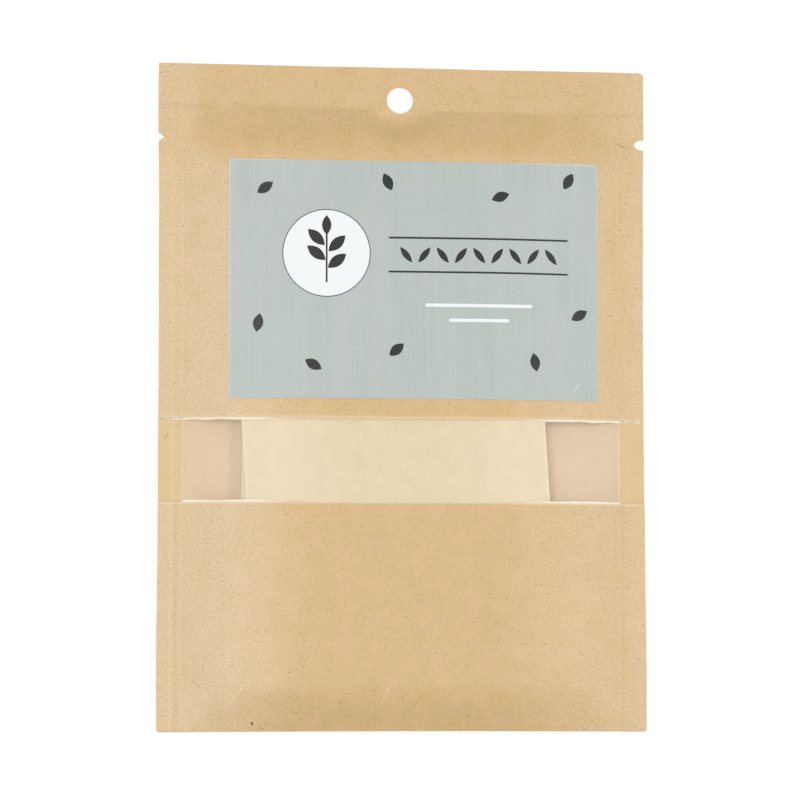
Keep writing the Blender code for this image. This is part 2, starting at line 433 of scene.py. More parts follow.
@dataclass(frozen=True)
class PackForm:
    """Heights of the pack's sheets, from the stack of filters that they go round.

    Attributes:
        half_width: half the pouch's width.
        top: the pouch's top edge.
        bottom: its bottom fold.
        window_low: the window's lower edge.
        window_high: its upper edge.
        film: the clear film's thickness.
        paper: the pouch paper's thickness.
        gap: between sheets that lie on each other.
        reach: how far the stack reaches to each side, with its top filter turned.
        side_seal: the side seals' width.
        top_seal: the top seal's width.
        seal_drop: how much lower the top seal's edge is on the right.
        drop_run: from where to where across the pouch it falls.
        stack_low: the stack's lower end.
        stack_high: its upper end.
        seal_lift: the seals' height above the table.
        crown_start: where the stack begins to thin.
        crown_end: from where it thins evenly.
        edge_pitch: a filter's share of the stack's height at the stack's edge.
        loft: how much more it is along the middle.
        count: how many filters.
        hole: the hang hole's centre.
        flat_round_hole: from where to where off that centre the closed sheets begin to part.
        edge_stretch: how far from the window its uneven edges move the paper.
        lift_start: how far off the middle the window's edges begin to leave their line.
        lift_end: from where they have left it.
        upper_lift: how far the window's upper edge is moved up, at the middle and at the sides.
        lower_lift: the same for its lower edge.
        corners: each corner's side, end and radius.
        left_line: the left edge's line.
        right_line: the right edge's line.
        top_slope: how far the top edge falls across the pouch, per millimetre.
        bottom_bow: how far the bottom edge is moved down: all of it, more to the right, more to both sides.
        left_ridges: the left seal's ridges.
        right_ridges: the right seal's ridges.
        top_ridge: the top seal's ridge.
        cockle: the paper's waviness.
        cockle_height: its height.
        trim: the waviness of the outline.
        trim_size: how far it moves the outline.
    """

    half_width: float
    top: float
    bottom: float
    window_low: float
    window_high: float
    film: float = 0.08
    paper: float = 0.16
    gap: float = 0.05
    reach: float = 40.21
    side_seal: float = 5.6
    top_seal: float = 9.7
    seal_drop: float = 0.55
    drop_run: Point = (-28.0, 14.0)
    stack_low: float = -65.05
    stack_high: float = 54.55
    seal_lift: float = 2.0
    crown_start: float = 15.0
    crown_end: float = 32.0
    edge_pitch: float = 0.18
    loft: float = 0.09
    count: int = 25
    hole: Point = (-0.58, 68.5)
    flat_round_hole: Point = (3.1, 11.5)
    edge_stretch: float = 8.0
    lift_start: float = 12.0
    lift_end: float = 38.0
    upper_lift: Point = (0.15, 0.48)
    lower_lift: Point = (-0.50, -0.12)
    corners: tuple[tuple[int, int, float], ...] = ((-1, 1, 0.15), (1, 1, 0.8), (-1, -1, 0.75), (1, -1, 0.6))
    left_line: SideLine = SideLine(0.22, ((0.30, 38.0, 60.0), (0.14, -33.0, -45.0)))
    right_line: SideLine = SideLine(0.15, ((0.48, 12.0, 84.0), (0.34, 8.0, -62.0)))
    top_slope: float = 0.003
    bottom_bow: tuple[float, float, float] = (0.05, 0.04, 0.17)
    left_ridges: tuple[Ridge, ...] = (Ridge(4.0, 0.6, 0.16), Ridge(5.3, 0.6, -0.07))
    right_ridges: tuple[Ridge, ...] = (Ridge(4.6, 0.9, 0.07), Ridge(6.3, 0.5, -0.07))
    top_ridge: Ridge = Ridge(0.4, 0.7, 0.05)
    cockle: Waves = field(default_factory=lambda: Waves(11, 34.0, 9.0))
    cockle_height: float = 0.10
    trim: Waves = field(default_factory=lambda: Waves(5, 60.0, 7.0))
    trim_size: float = 0.05

    @property
    def seal_inner(self) -> float:
        """Where the side seals begin."""
        return self.half_width - self.side_seal

    @property
    def seal_low(self) -> float:
        """Where the top seal begins on the left."""
        return self.top - self.top_seal

    @property
    def fold_radius(self) -> float:
        """Radius of the bottom fold, at the middle of its paper."""
        return (self.paper + self.film) / 2 + self.gap

    @property
    def fold_centre(self) -> float:
        """Where the bottom fold turns about."""
        return self.bottom + self.fold_radius + self.paper / 2

    @property
    def stack_base(self) -> float:
        """Height of the lowest filter's underside over the stack's middle."""
        return self.paper + self.gap

    @property
    def sealed_film(self) -> float:
        """The clear film's height at the seals."""
        return self.seal_lift + self.paper + self.gap

    def seal_edge(self, x: Array) -> Array:
        """Where the top seal begins at this distance across: a little lower on the right."""
        return self.seal_low - self.seal_drop * eased(x, *self.drop_run)

    def pitch(self, x: Array) -> Array:
        """Height that each filter adds to the stack at this distance across the pack."""
        bend = self.crown_end - self.crown_start
        full_drop = bend / 2 + self.reach - self.crown_end
        past = np.clip(np.minimum(np.abs(x), self.reach) - self.crown_start, 0.0, None)
        drop = np.where(past <= bend, past * past / (2 * bend), past - bend / 2)
        return self.edge_pitch + self.loft * (1 - drop / full_drop)

    def end_rise(self, x: Array, y: Array) -> Array:
        """0 at the pouch's two ends and round the hang hole, and 1 along the stack."""
        low = (y - self.fold_centre) / (self.stack_low - self.fold_centre)
        start = self.seal_edge(x)
        high = (start - y) / (start - self.stack_high)
        off_hole = eased(np.hypot(x - self.hole[0], y - self.hole[1]), *self.flat_round_hole)
        return np.sin(np.clip(np.minimum(low, high), 0.0, 1.0) * pi / 2) * off_hole

    def side_fall(self, x: Array) -> Array:
        """0 over the stack and 1 at the side seals."""
        return np.clip((np.abs(x) - self.reach) / (self.seal_inner - self.reach), 0.0, 1.0)

    def relief(self, x: Array, y: Array) -> Array:
        """How far the front's sheets stand above the plain form: cockle and the seals' ridges."""
        inside = (1 - self.side_fall(x) ** 2) * self.end_rise(x, y)
        height = self.cockle_height * (1 + self.cockle.at(x, y)) * (0.25 + 0.75 * inside)
        left, right = x + self.half_width, self.half_width - x
        ridges = [(ridge, left) for ridge in self.left_ridges]
        ridges += [(ridge, right) for ridge in self.right_ridges]
        for ridge, off in ridges:
            height += ridge.at(off) * self.sealed(y)
        height += self.top_ridge.at(self.seal_edge(x) - y)
        return np.maximum(height, 0.0)

    def sealed(self, y: Array) -> Array:
        """1 along the side seals, fading towards the top seal and the bottom fold."""
        return np.clip((self.seal_low - y) / 12, 0.0, 1.0) * np.clip((y - self.bottom) / 6, 0.0, 1.0)

    def film_underside(self, x: Array, y: Array) -> Array:
        """Height of the surface that the clear film lies on."""
        over_stack = self.stack_base + self.count * self.pitch(x)
        section = over_stack + (self.sealed_film - over_stack) * self.side_fall(x)
        return self.sealed_film + (section - self.sealed_film) * self.end_rise(x, y) + self.relief(x, y)

    def front_underside(self, x: Array, y: Array) -> Array:
        """Height of the underside of the front's paper."""
        return self.film_underside(x, y) + self.film + self.gap

    def label_underside(self, x: Array, y: Array) -> Array:
        """Height of the underside of the label."""
        return self.front_underside(x, y) + self.paper + self.gap

    def back_underside(self, x: Array, y: Array) -> Array:
        """Height of the pack's back: flat under the stack, and curving up to the seals round it."""
        flat = (1 - self.side_fall(x) ** 2) * (1 - (1 - self.end_rise(x, y)) ** 2)
        return self.seal_lift * (1 - flat)

    def outline(self, x: Array, y: Array) -> tuple[Array, Array]:
        """Gives a sheet's flat rectangle the trimmed outline: nearly straight edges and tight corners.

        Args:
            x: place across the pack.
            y: place along it.

        Returns:
            The same places, moved.
        """
        x, y = x.copy(), y.copy()
        for side, end, radius in self.corners:
            centre_x, centre_y = self.half_width - radius, abs(self.top if end > 0 else self.bottom) - radius
            off_x, off_y = x * side - centre_x, y * end - centre_y
            near = (off_x > 0) & (off_y > 0)
            reach = np.hypot(off_x, off_y)
            pull = np.where(near, np.maximum(off_x, off_y) / np.where(near, reach, 1.0), 1.0)
            x = np.where(near, side * (centre_x + off_x * pull), x)
            y = np.where(near, end * (centre_y + off_y * pull), y)
        at_side = np.clip((np.abs(x) - self.seal_inner) / self.side_seal, 0.0, 1.0)
        at_top = np.clip((y - self.seal_low) / self.top_seal, 0.0, 1.0)
        at_bottom = np.clip((self.stack_low - y) / (self.stack_low - self.bottom), 0.0, 1.0)
        side = np.sign(x)
        inward = np.where(side < 0, self.left_line.at(y), self.right_line.at(y))
        # The two side edges read the waviness 40 mm to each side of where the top edge does.
        x += at_side * (self.trim_size * self.trim.at(y, 0 * y + 40 * side) - inward * side)
        y += at_top * (self.trim_size * self.trim.at(x, 0 * x) - self.top_slope * (x + self.half_width))
        across = x / self.half_width
        y -= at_bottom * (self.bottom_bow[0] + self.bottom_bow[1] * across + self.bottom_bow[2] * across**2)
        return x, y

    def front_outline(self, x: Array, y: Array) -> tuple[Array, Array]:
        """As outline, for the front's paper, whose cut edges at the window aren't quite straight.

        Args:
            x: place across the pack.
            y: place along it.

        Returns:
            The same places, moved.
        """
        x, y = self.outline(x, y)
        above, below = y - self.window_high, self.window_low - y
        share = eased(np.abs(x), self.lift_start, self.lift_end)
        for past, lift in ((above, self.upper_lift), (below, self.lower_lift)):
            pull = np.clip(1 - past / self.edge_stretch, 0.0, 1.0) * (past > -1.0)
            y = y + pull * (lift[0] + (lift[1] - lift[0]) * share)
        return x, y


def spaced(stops: Sequence[float], spacings: Sequence[float]) -> Array:
    """Stations through the stops, with a largest spacing for each stretch between two of them.

    Args:
        stops: the stops, from lowest to highest.
        spacings: one spacing for each stretch.

    Returns:
        The stations.
    """
    parts = [np.array([stops[0]])]
    for low, high, spacing in zip(stops[:-1], stops[1:], spacings):
        count = max(1, round((high - low) / spacing))
        parts.append(low + (high - low) * np.arange(1, count + 1) / count)
    return np.concatenate(parts)


def read_places(piece: Object) -> Array:
    """A mesh's vertices, one row each."""
    places = np.empty(len(piece.data.vertices) * 3)
    piece.data.vertices.foreach_get("co", places)
    return places.reshape(-1, 3)


def write_places(piece: Object, places: Array) -> None:
    """Moves a mesh's vertices to the rows of places."""
    piece.data.vertices.foreach_set("co", places.ravel())
    piece.data.update()


def add_grid(across: int, along: int) -> Object:
    """Adds a flat square grid from -1 to 1 with this many cells each way."""
    bpy.ops.object.select_all(action="DESELECT")
    bpy.ops.mesh.primitive_grid_add(x_subdivisions=across, y_subdivisions=along, size=2.0, calc_uvs=False)
    return bpy.context.object


def station_sheet(name: str, columns: Array, rows: Array, place: Callable[[Array, Array], Array]) -> Object:
    """Adds a grid with a vertex for each column and row and moves each to its place.

    Args:
        name: the piece's name.
        columns: the stations across.
        rows: the stations along, or whatever place reads.
        place: gives the places, in millimetres, from each vertex's column number and row number.

    Returns:
        The sheet's object.
    """
    across, along = len(columns) - 1, len(rows) - 1
    sheet = add_grid(across, along)
    sheet.name = name
    sheet.data.name = name
    flat = read_places(sheet)
    column = np.rint((flat[:, 0] + 1) / 2 * across).astype(int)
    row = np.rint((flat[:, 1] + 1) / 2 * along).astype(int)
    write_places(sheet, place(column, row) * MM)
    return sheet


def select_only(piece: Object) -> None:
    """Makes one object the selected and active one."""
    bpy.ops.object.select_all(action="DESELECT")
    piece.select_set(True)
    bpy.context.view_layer.objects.active = piece


def thicken(sheet: Object, thickness: float, finishes: Sequence[Material]) -> None:
    """Gives a sheet its thickness, half to each side.

    Args:
        sheet: the sheet.
        thickness: its thickness in millimetres.
        finishes: the outer face's finish, and where they differ, the inner face's and the cut edge's.
    """
    for finish in finishes:
        sheet.data.materials.append(finish)
    wall = sheet.modifiers.new("thickness", "SOLIDIFY")
    wall.thickness = thickness * MM
    wall.offset = 0.0
    wall.use_even_offset = True
    wall.material_offset = min(1, len(finishes) - 1)
    wall.material_offset_rim = max(0, len(finishes) - 1)
    select_only(sheet)
    bpy.ops.object.modifier_apply(modifier=wall.name)


def punch_out(sheet: Object, punches: Sequence[Object]) -> None:
    """Cuts the punches out of a sheet."""
    for punch in punches:
        cut = sheet.modifiers.new("punch", "BOOLEAN")
        cut.operation = "DIFFERENCE"
        cut.solver = "EXACT"
        cut.object = punch
        select_only(sheet)
        bpy.ops.object.modifier_apply(modifier=cut.name)


def finish_piece(piece: Object, nodes: Sequence[str], angle: float = 35.0) -> None:
    """Smooths a piece, ties it to the pack and reports it.

    Args:
        piece: the piece.
        nodes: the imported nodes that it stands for.
        angle: faces that meet under this angle are shaded smooth, in degrees.
    """
    select_only(piece)
    bpy.ops.object.shade_smooth_by_angle(angle=radians(angle))
    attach(piece, "root")
    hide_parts(*nodes)
    log.info("%s: %d faces", piece.name, len(piece.data.polygons))


@dataclass(frozen=True)
class BrownPaper(Finish):
    """Unbleached kraft paper, machine glazed and varnished: brown, cloudy, flecked with fibres, softly shiny,
    with a sheen painted paler along its sides.

    Its fibres are about 0.03 mm wide, too fine to show, so they are drawn nearly as wide as a pixel of the
    render, which is 0.23 mm, and the grain between them is two or three pixels coarse.
    """

    title: ClassVar[str] = "kraft paper, varnished"
    form: PackForm
    pale: str = "#DBB886"
    deep: str = "#D6B57D"
    # The colour of the sheen painted along the sides.
    painted_sheen: str = "#F1E4D0"
    fibre: str = "#8A6538"
    pith: str = "#F3DFBC"
    speck: str = "#4A3520"
    worn: str = "#EDD9B5"
    roughness: float = 0.42
    short_fibres: Strands = Strands(1.3, 1.0, 0.16, 0.35, 3.0, rarity=5.0, spread=0.8)
    long_fibres: Strands = Strands(5.6, 3.2, 0.15, 0.16, 41.0, rarity=7.0, spread=0.8)
    light_fibres: Strands = Strands(1.9, 1.7, 0.20, 0.30, 77.0, rarity=4.0, spread=0.8)
    specks: Strands = Strands(6.5, 0.34, 0.24, 0.0, 19.0, rarity=8.0)

    def sheet_place(self, graph: Graph) -> Socket:
        """The paper's own coordinates: the back reads another stretch of paper than the front above it."""
        split = graph.add("SeparateXYZ", {0: graph.place()}).node.outputs
        front_from = self.form.sealed_film + 0.04
        back_stretch = 211.0
        behind = graph.add("Math", {0: split[2], 1: front_from}, operation="LESS_THAN")
        along = graph.layered(split[1], (behind, back_stretch))
        return graph.add("CombineXYZ", {0: split[0], 1: along})

    def clouds(self, graph: Graph, place: Socket, size: float, detail: float) -> Socket:
        """Even noise between -0.5 and 0.5.

        Args:
            graph: the graph to add to.
            place: the sheet's coordinates in millimetres.
            size: the clouds' size.
            detail: how much finer noise it holds.

        Returns:
            The noise's socket.
        """
        settings = {"Vector": place, "Scale": 1 / size, "Detail": detail, "Roughness": 0.6}
        noise = graph.add("TexNoise", settings, noise_dimensions="2D")
        return graph.add("Math", {0: noise, 1: 0.5}, operation="SUBTRACT")

    def pressed(self, graph: Graph, place: Socket) -> Socket:
        """1 in the narrow bands that the window's cutter pressed pale, along the paper's two cut edges.

        Args:
            graph: the graph to add to.
            place: the sheet's coordinates in millimetres.

        Returns:
            The mask's socket.
        """
        split = graph.add("SeparateXYZ", {0: place}).node.outputs
        total: Socket | float = 0.0
        for edge, side, reach in ((self.form.window_high, 1.0, 1.2), (self.form.window_low, -1.0, 0.6)):
            off = graph.add("Math", {0: split[1], 1: edge}, operation="SUBTRACT")
            off = graph.add("Math", {0: off, 1: side}, operation="MULTIPLY")
            beyond = graph.add("Math", {0: off, 1: -0.3}, operation="GREATER_THAN")
            total = graph.layered(total, (graph.band(off, 0.4, reach), beyond))
        return total

    def painted_sheen_mask(self, graph: Graph, place: Socket) -> Socket:
        """1 along the sides, where a sheen is painted paler, and 0 over the middle of the stack: painted
        light where the pouch's curved flanks catch the lamps.

        Args:
            graph: the graph to add to.
            place: the sheet's coordinates in millimetres.

        Returns:
            The mask's socket.
        """
        form = self.form
        depth_along_stack, depth_at_ends = 27.0, 9.0
        left_strength, right_strength, top_strength = 1.35, 0.75, 0.6
        rim_strength, seal_strength = 0.45, 0.25
        split = graph.add("SeparateXYZ", {0: place}).node.outputs
        across = graph.add("Math", {0: split[0]}, operation="ABSOLUTE")
        under_top = graph.band(split[1], 46.0, 60.0)
        over_bottom = graph.band(split[1], form.bottom + 4.0, form.bottom - 6.0)
        inside = graph.add("Math", {0: under_top, 1: over_bottom}, operation="MULTIPLY")
        depth = graph.add("MapRange", {0: inside, 3: depth_at_ends, 4: depth_along_stack})
        from_side = graph.add("Math", {0: form.half_width, 1: across}, operation="SUBTRACT")
        mask = graph.band(graph.add("Math", {0: from_side, 1: depth}, operation="DIVIDE"), 0.5, 1.35)
        # The painted sheen is stronger on the left, the side of the stronger lamp.
        sides = {0: split[0], 1: -30.0, 2: 30.0, 3: left_strength, 4: right_strength}
        mask = graph.add("Math", {0: mask, 1: graph.add("MapRange", sides)}, operation="MULTIPLY")
        ends = graph.add("MapRange", {0: under_top, 3: top_strength, 4: 1.0})
        mask = graph.add("Math", {0: mask, 1: ends}, operation="MULTIPLY")
        # Painted sheen also along the right edge and below the top seal.
        from_right = graph.add("Math", {0: form.half_width, 1: split[0]}, operation="SUBTRACT")
        rim = graph.band(from_right, 0.5, 4.5)
        seal = graph.band(split[1], form.seal_low, form.seal_low - 8.0)
        return graph.layered(mask, (rim, rim_strength), (seal, seal_strength))

    def seal_ridge_light_and_shade(self, graph: Graph, place: Socket) -> Socket:
        """Painted light and shade of the ridges that the sealing bars left down the sides and along the top:
        the tone of pale lines where a ridge faces the light, of dark lines where it faces away, and of a
        painted shadow below the top seal's edge.

        Args:
            graph: the graph to add to.
            place: the sheet's coordinates in millimetres.

        Returns:
            The factor's socket.
        """
        form = self.form
        split = graph.add("SeparateXYZ", {0: place}).node.outputs
        noise = graph.add("TexNoise", {"Vector": place, "Scale": 0.35, "Detail": 1.0})
        wander = graph.layered(-0.35, (noise, 0.7))
        left = graph.add("Math", {0: split[0], 1: form.half_width}, operation="ADD")
        left = graph.add("Math", {0: left, 1: wander}, operation="ADD")
        right = graph.add("Math", {0: form.half_width, 1: split[0]}, operation="SUBTRACT")
        right = graph.add("Math", {0: right, 1: wander}, operation="ADD")
        slant = graph.layered(split[1], (split[0], 0.006))
        down = graph.add("Math", {0: form.seal_low + 0.35, 1: slant}, operation="SUBTRACT")
        across = graph.add("Math", {0: split[0]}, operation="ABSOLUTE")
        above_window = graph.band(split[1], form.window_high, form.window_low)
        fainter_above = graph.add("MapRange", {0: above_window, 3: 1.0, 4: 0.35})
        # Each line's distance, where that puts its middle, its reach, its tone and where it shows.
        lines = (
            (left, 3.15, 0.36, 0.065, fainter_above),
            (left, 4.20, 0.85, -0.065, fainter_above),
            (right, 5.35, 0.80, -0.045, fainter_above),
            (down, 0.0, 0.40, -0.030, graph.band(split[0], -22.0, 10.0)),
            (down, 2.8, 4.40, 0.015, graph.band(across, 30.0, 44.0)),
            (down, 0.9, 1.10, -0.065, graph.band(across, 48.0, 42.0)),
        )
        total: Socket | float = 1.0
        for distance, middle, reach, tone, where in lines:
            line = graph.stripe(distance, middle, 0.25 * reach, reach)
            line = graph.add("Math", {0: line, 1: where}, operation="MULTIPLY")
            total = graph.layered(total, (line, tone))
        return total

    def creases(self) -> list[Mark]:
        """Three light creases where the lower front was handled."""
        left, foot = -self.form.half_width, self.form.bottom
        return [
            Mark.between((left + 14.7, foot + 4.7), (left + 20.4, foot + 10.8), 0.45),
            Mark.between((left + 50.1, foot + 5.0), (left + 53.0, foot + 10.8), 0.40),
            Mark.between((left + 83.3, foot + 3.4), (left + 83.5, foot + 7.6), 0.25),
        ]

    def set_fibres(self) -> list[Mark]:
        """A long dark fibre beside the right notch, in two parts."""
        return [
            Mark.between((49.35, 59.45), (51.0, 58.75), 0.42),
            Mark.between((50.7, 58.85), (52.3, 58.25), 0.42),
        ]

    def shader(self, graph: Graph) -> Socket:
        """Adds the paper's nodes.

        Args:
            graph: the graph to add to.

        Returns:
            The shader's socket.
        """
        flat = self.sheet_place(graph)
        # Fibres wander by a fraction of a millimetre.
        drift = graph.add("TexNoise", {"Vector": flat, "Scale": 0.6, "Detail": 1.0}, output="Color")
        drift = graph.add("VectorMath", {0: drift, 1: (0.5, 0.5, 0.5)}, operation="SUBTRACT")
        place = graph.add("VectorMath", {0: drift, 1: (1.1, 1.1, 0.0), 2: flat}, operation="MULTIPLY_ADD")
        fine = self.clouds(graph, flat, 0.34, 2.0)
        coarse = self.clouds(graph, flat, 0.62, 2.0)
        flock = self.clouds(graph, flat, 2.6, 3.0)
        cloud = self.clouds(graph, flat, 14.0, 2.0)
        tint = self.clouds(graph, flat, 5.5, 1.0)
        hue = graph.add("MapRange", {0: tint, 1: -0.22, 2: 0.22})
        # Where the sheen is painted, the grain shows more.
        painted_sheen = self.painted_sheen_mask(graph, flat)
        grain = graph.add("MapRange", {0: painted_sheen, 3: 0.28, 4: 0.45})
        mottle = graph.add("MapRange", {0: painted_sheen, 3: 0.23, 4: 0.46})
        layers = ((fine, grain), (coarse, mottle), (flock, 0.09), (cloud, 0.04))
        # Painted light and shade of the seal ridges, laid into the paper's tone.
        tone = graph.layered(self.seal_ridge_light_and_shade(graph, flat), *layers)
        body = graph.blend(hue, self.pale, self.deep)
        body = graph.add("VectorMath", {0: body, 3: tone}, operation="SCALE")
        # Painted sheen: the paper is painted paler along its sides.
        body = graph.blend(painted_sheen, body, self.painted_sheen, 0.17)

        dark = [(strands.mask(graph, place), 1.0) for strands in (self.short_fibres, self.long_fibres)]
        dark += [(mark.mask(graph, flat), 1.0) for mark in self.set_fibres()]
        light = self.light_fibres.mask(graph, place)
        body = graph.blend(graph.strongest(*dark), body, self.fibre, 0.42)
        body = graph.blend(light, body, self.pith, 0.22)
        one_speck = Mark(Shape.OVAL, (-34.3, self.form.bottom + 1.75), (1.0, 0.5), -62.0, 0.4)
        specks = graph.strongest((self.specks.mask(graph, place), 0.8), (one_speck.mask(graph, flat), 1.0))
        body = graph.blend(specks, body, self.speck)
        worn = [(self.pressed(graph, flat), 0.55)]
        worn += [(crease.mask(graph, place), 0.5) for crease in self.creases()]
        body = graph.blend(graph.strongest(*worn), body, self.worn)

        rough = graph.layered(self.roughness, (flock, 0.10))
        relief = graph.layered(fine, (light, 0.5), (coarse, 0.8), (flock, 0.8))
        return graph.surface(body, rough, relief, 0.8, 0.06)


@dataclass(frozen=True)
class LinedPaper(Finish):
    """The pouch paper's inner face, extrusion coated: paler and smoother, and as the paper where sealed."""

    title: ClassVar[str] = "kraft paper, coated inner face"
    form: PackForm
    lining: str = "#ECD3AC"
    sealed: str = "#E6C988"
    fibre: str = "#8A6538"
    roughness: float = 0.5
    fibres: Strands = Strands(2.2, 2.0, 0.16, 0.3, 9.0)
    set_fibre: Mark = Mark.between((-54.5, -10.2), (-53.3, -8.6), 0.30)

    def shader(self, graph: Graph) -> Socket:
        """Adds the coated face's nodes.

        Args:
            graph: the graph to add to.

        Returns:
            The shader's socket.
        """
        place = graph.place()
        split = graph.add("SeparateXYZ", {0: place}).node.outputs
        across = graph.add("Math", {0: split[0]}, operation="ABSOLUTE")
        inner = self.form.seal_inner
        wander = graph.add("TexNoise", {"Vector": place, "Scale": 0.5, "Detail": 2.0})
        wander = graph.add("MapRange", {0: wander, 3: 0.7, 4: -0.7})
        wavy = graph.add("Math", {0: across, 1: wander}, operation="ADD")
        inside = graph.band(wavy, inner - 0.4, inner + 0.3)
        haze = graph.add("TexNoise", {"Vector": place, "Scale": 0.22, "Detail": 2.0})
        tone = graph.add("MapRange", {0: haze, 1: 0.2, 2: 0.8, 3: 0.97, 4: 1.03})
        grain = graph.add("TexNoise", {"Vector": place, "Scale": 3.2, "Detail": 3.0})

        spots = graph.add("MapRange", {0: grain, 1: 0.3, 2: 0.7, 3: 0.91, 4: 1.09})
        seal = graph.add("VectorMath", {0: colour(self.sealed)[:3], 3: tone}, operation="SCALE")
        seal = graph.add("VectorMath", {0: seal, 3: spots}, operation="SCALE")
        masks = ((self.fibres.mask(graph, place), 0.5), (self.set_fibre.mask(graph, place), 1.0))
        dark = graph.strongest(*masks)
        seal = graph.blend(dark, seal, self.fibre, 0.8)

        # Over the lining the grain is fainter, and the left is painted a little lighter than the right, as
        # painted light where the lining slopes away from the stronger lamp.
        spots = graph.add("MapRange", {0: grain, 1: 0.3, 2: 0.7, 3: 0.973, 4: 1.027})
        sides = graph.add("MapRange", {0: split[0], 1: -inner, 2: inner, 3: 1.08, 4: 1.005})
        bare = graph.add("VectorMath", {0: colour(self.lining)[:3], 3: tone}, operation="SCALE")
        for factor in (sides, spots):
            bare = graph.add("VectorMath", {0: bare, 3: factor}, operation="SCALE")
        return graph.surface(graph.blend(inside, seal, bare), self.roughness, grain, 0.4, 0.03)


@dataclass(frozen=True)
class CutEdge(Finish):
    """The pouch paper's cut edge: raw fibres, paler than the varnished face."""

    title: ClassVar[str] = "kraft paper, cut edge"
    tint: str = "#E2C8A2"
    dark: str = "#C9A874"
    roughness: float = 0.85

    def shader(self, graph: Graph) -> Socket:
        """Adds the edge's nodes.

        Args:
            graph: the graph to add to.

        Returns:
            The shader's socket.
        """
        ragged = graph.add("TexNoise", {"Vector": graph.place(), "Scale": 3.0, "Detail": 3.0})
        mix = graph.add("MapRange", {0: ragged, 1: 0.35, 2: 0.65})
        return graph.surface(graph.blend(mix, self.tint, self.dark), self.roughness, ragged, 0.6, 0.04)


@dataclass(frozen=True)
class ClearFilm(Finish):
    """Cast polypropylene film: clear with a faint haze, and a pale line along the window's two edges, part
    adhesive and part painted highlight.
    """

    title: ClassVar[str] = "clear film, cast polypropylene"
    form: PackForm
    haze: float = 0.09
    milk: str = "#F6ECDC"
    adhesive_and_highlight: str = "#FFF3DC"
    roughness: float = 0.34

    def adhesive_and_highlight_line(self, graph: Graph, place: Socket) -> Socket:
        """How much of the pale edge line shows, part adhesive and part painted highlight: a ragged line along
        each edge, faint over the middle of the filters.

        Args:
            graph: the graph to add to.
            place: the sheet's coordinates in millimetres.

        Returns:
            The mask's socket.
        """
        form = self.form
        split = graph.add("SeparateXYZ", {0: place}).node.outputs
        across = graph.add("Math", {0: split[0]}, operation="ABSOLUTE")
        ragged = graph.add("TexNoise", {"Vector": place, "Scale": 0.30, "Detail": 2.0})
        width = graph.add("MapRange", {0: ragged, 1: 0.35, 2: 0.65, 3: 0.42, 4: 0.62})
        # The painted highlight is strongest near the filters' edges, where the film bends over them.
        off_middle = graph.add("MapRange", {0: across, 1: 24.0, 2: 33.0, 3: 0.15, 4: 1.0})
        inside = graph.band(across, form.seal_inner - 0.3, form.seal_inner + 0.1)
        # Over the side seals the upper line goes on in dashes.
        dashes = graph.add("TexNoise", {"Vector": place, "Scale": 0.7, "Detail": 1.0})
        dashes = graph.add("MapRange", {0: dashes, 1: 0.38, 2: 0.62, 3: 0.0, 4: 0.7})
        dashes = graph.strongest((inside, 1.0), (dashes, 1.0))
        edges = (
            (form.window_high, form.upper_lift, -1.0, dashes),
            (form.window_low, form.lower_lift, 1.0, inside),
        )
        lines = []
        for edge, lift, side, where in edges:
            run = {0: across, 1: form.lift_start, 2: form.lift_end, 3: edge + lift[0], 4: edge + lift[1]}
            level = graph.add("MapRange", run, interpolation_type="SMOOTHSTEP")
            inner = graph.add("Math", {0: split[1], 1: level}, operation="SUBTRACT")
            inner = graph.add("Math", {0: inner, 1: side}, operation="MULTIPLY")
            line = graph.band(graph.add("Math", {0: inner, 1: width}, operation="DIVIDE"), 0.6, 1.25)
            lines.append((graph.add("Math", {0: line, 1: where}, operation="MULTIPLY"), 1.0))
        total = graph.add("Math", {0: graph.strongest(*lines), 1: off_middle}, operation="MULTIPLY")
        seam = graph.stripe(across, form.seal_inner - 0.2, 0.05, 0.30)
        return graph.strongest((total, 1.0), (seam, 0.10))

    def shader(self, graph: Graph) -> Socket:
        """Adds the film's nodes.

        Args:
            graph: the graph to add to.

        Returns:
            The shader's socket.
        """
        adhesive_and_highlight = self.adhesive_and_highlight_line(graph, graph.place())
        clear = graph.add("BsdfTransparent", {"Color": (0.985, 0.98, 0.975, 1.0)})
        gloss = graph.add("BsdfGlossy", {"Color": WHITE, "Roughness": self.roughness})
        mirror = graph.add("Fresnel", {"IOR": 1.45})
        mirror = graph.add("Math", {0: mirror, 1: 0.3}, operation="MULTIPLY")
        sheet = graph.add("MixShader", {0: mirror, 1: clear, 2: gloss})
        # The pale line's colour: adhesive with a painted highlight.
        body = graph.blend(graph.band(adhesive_and_highlight, 0.05, 0.0), self.milk, self.adhesive_and_highlight)
        milky = graph.add("BsdfPrincipled", {"Base Color": body, "Roughness": 0.45, "IOR": 1.5})
        amount = graph.add("MapRange", {0: adhesive_and_highlight, 3: self.haze, 4: 0.93})
        return graph.add("MixShader", {0: amount, 1: sheet, 2: milky})


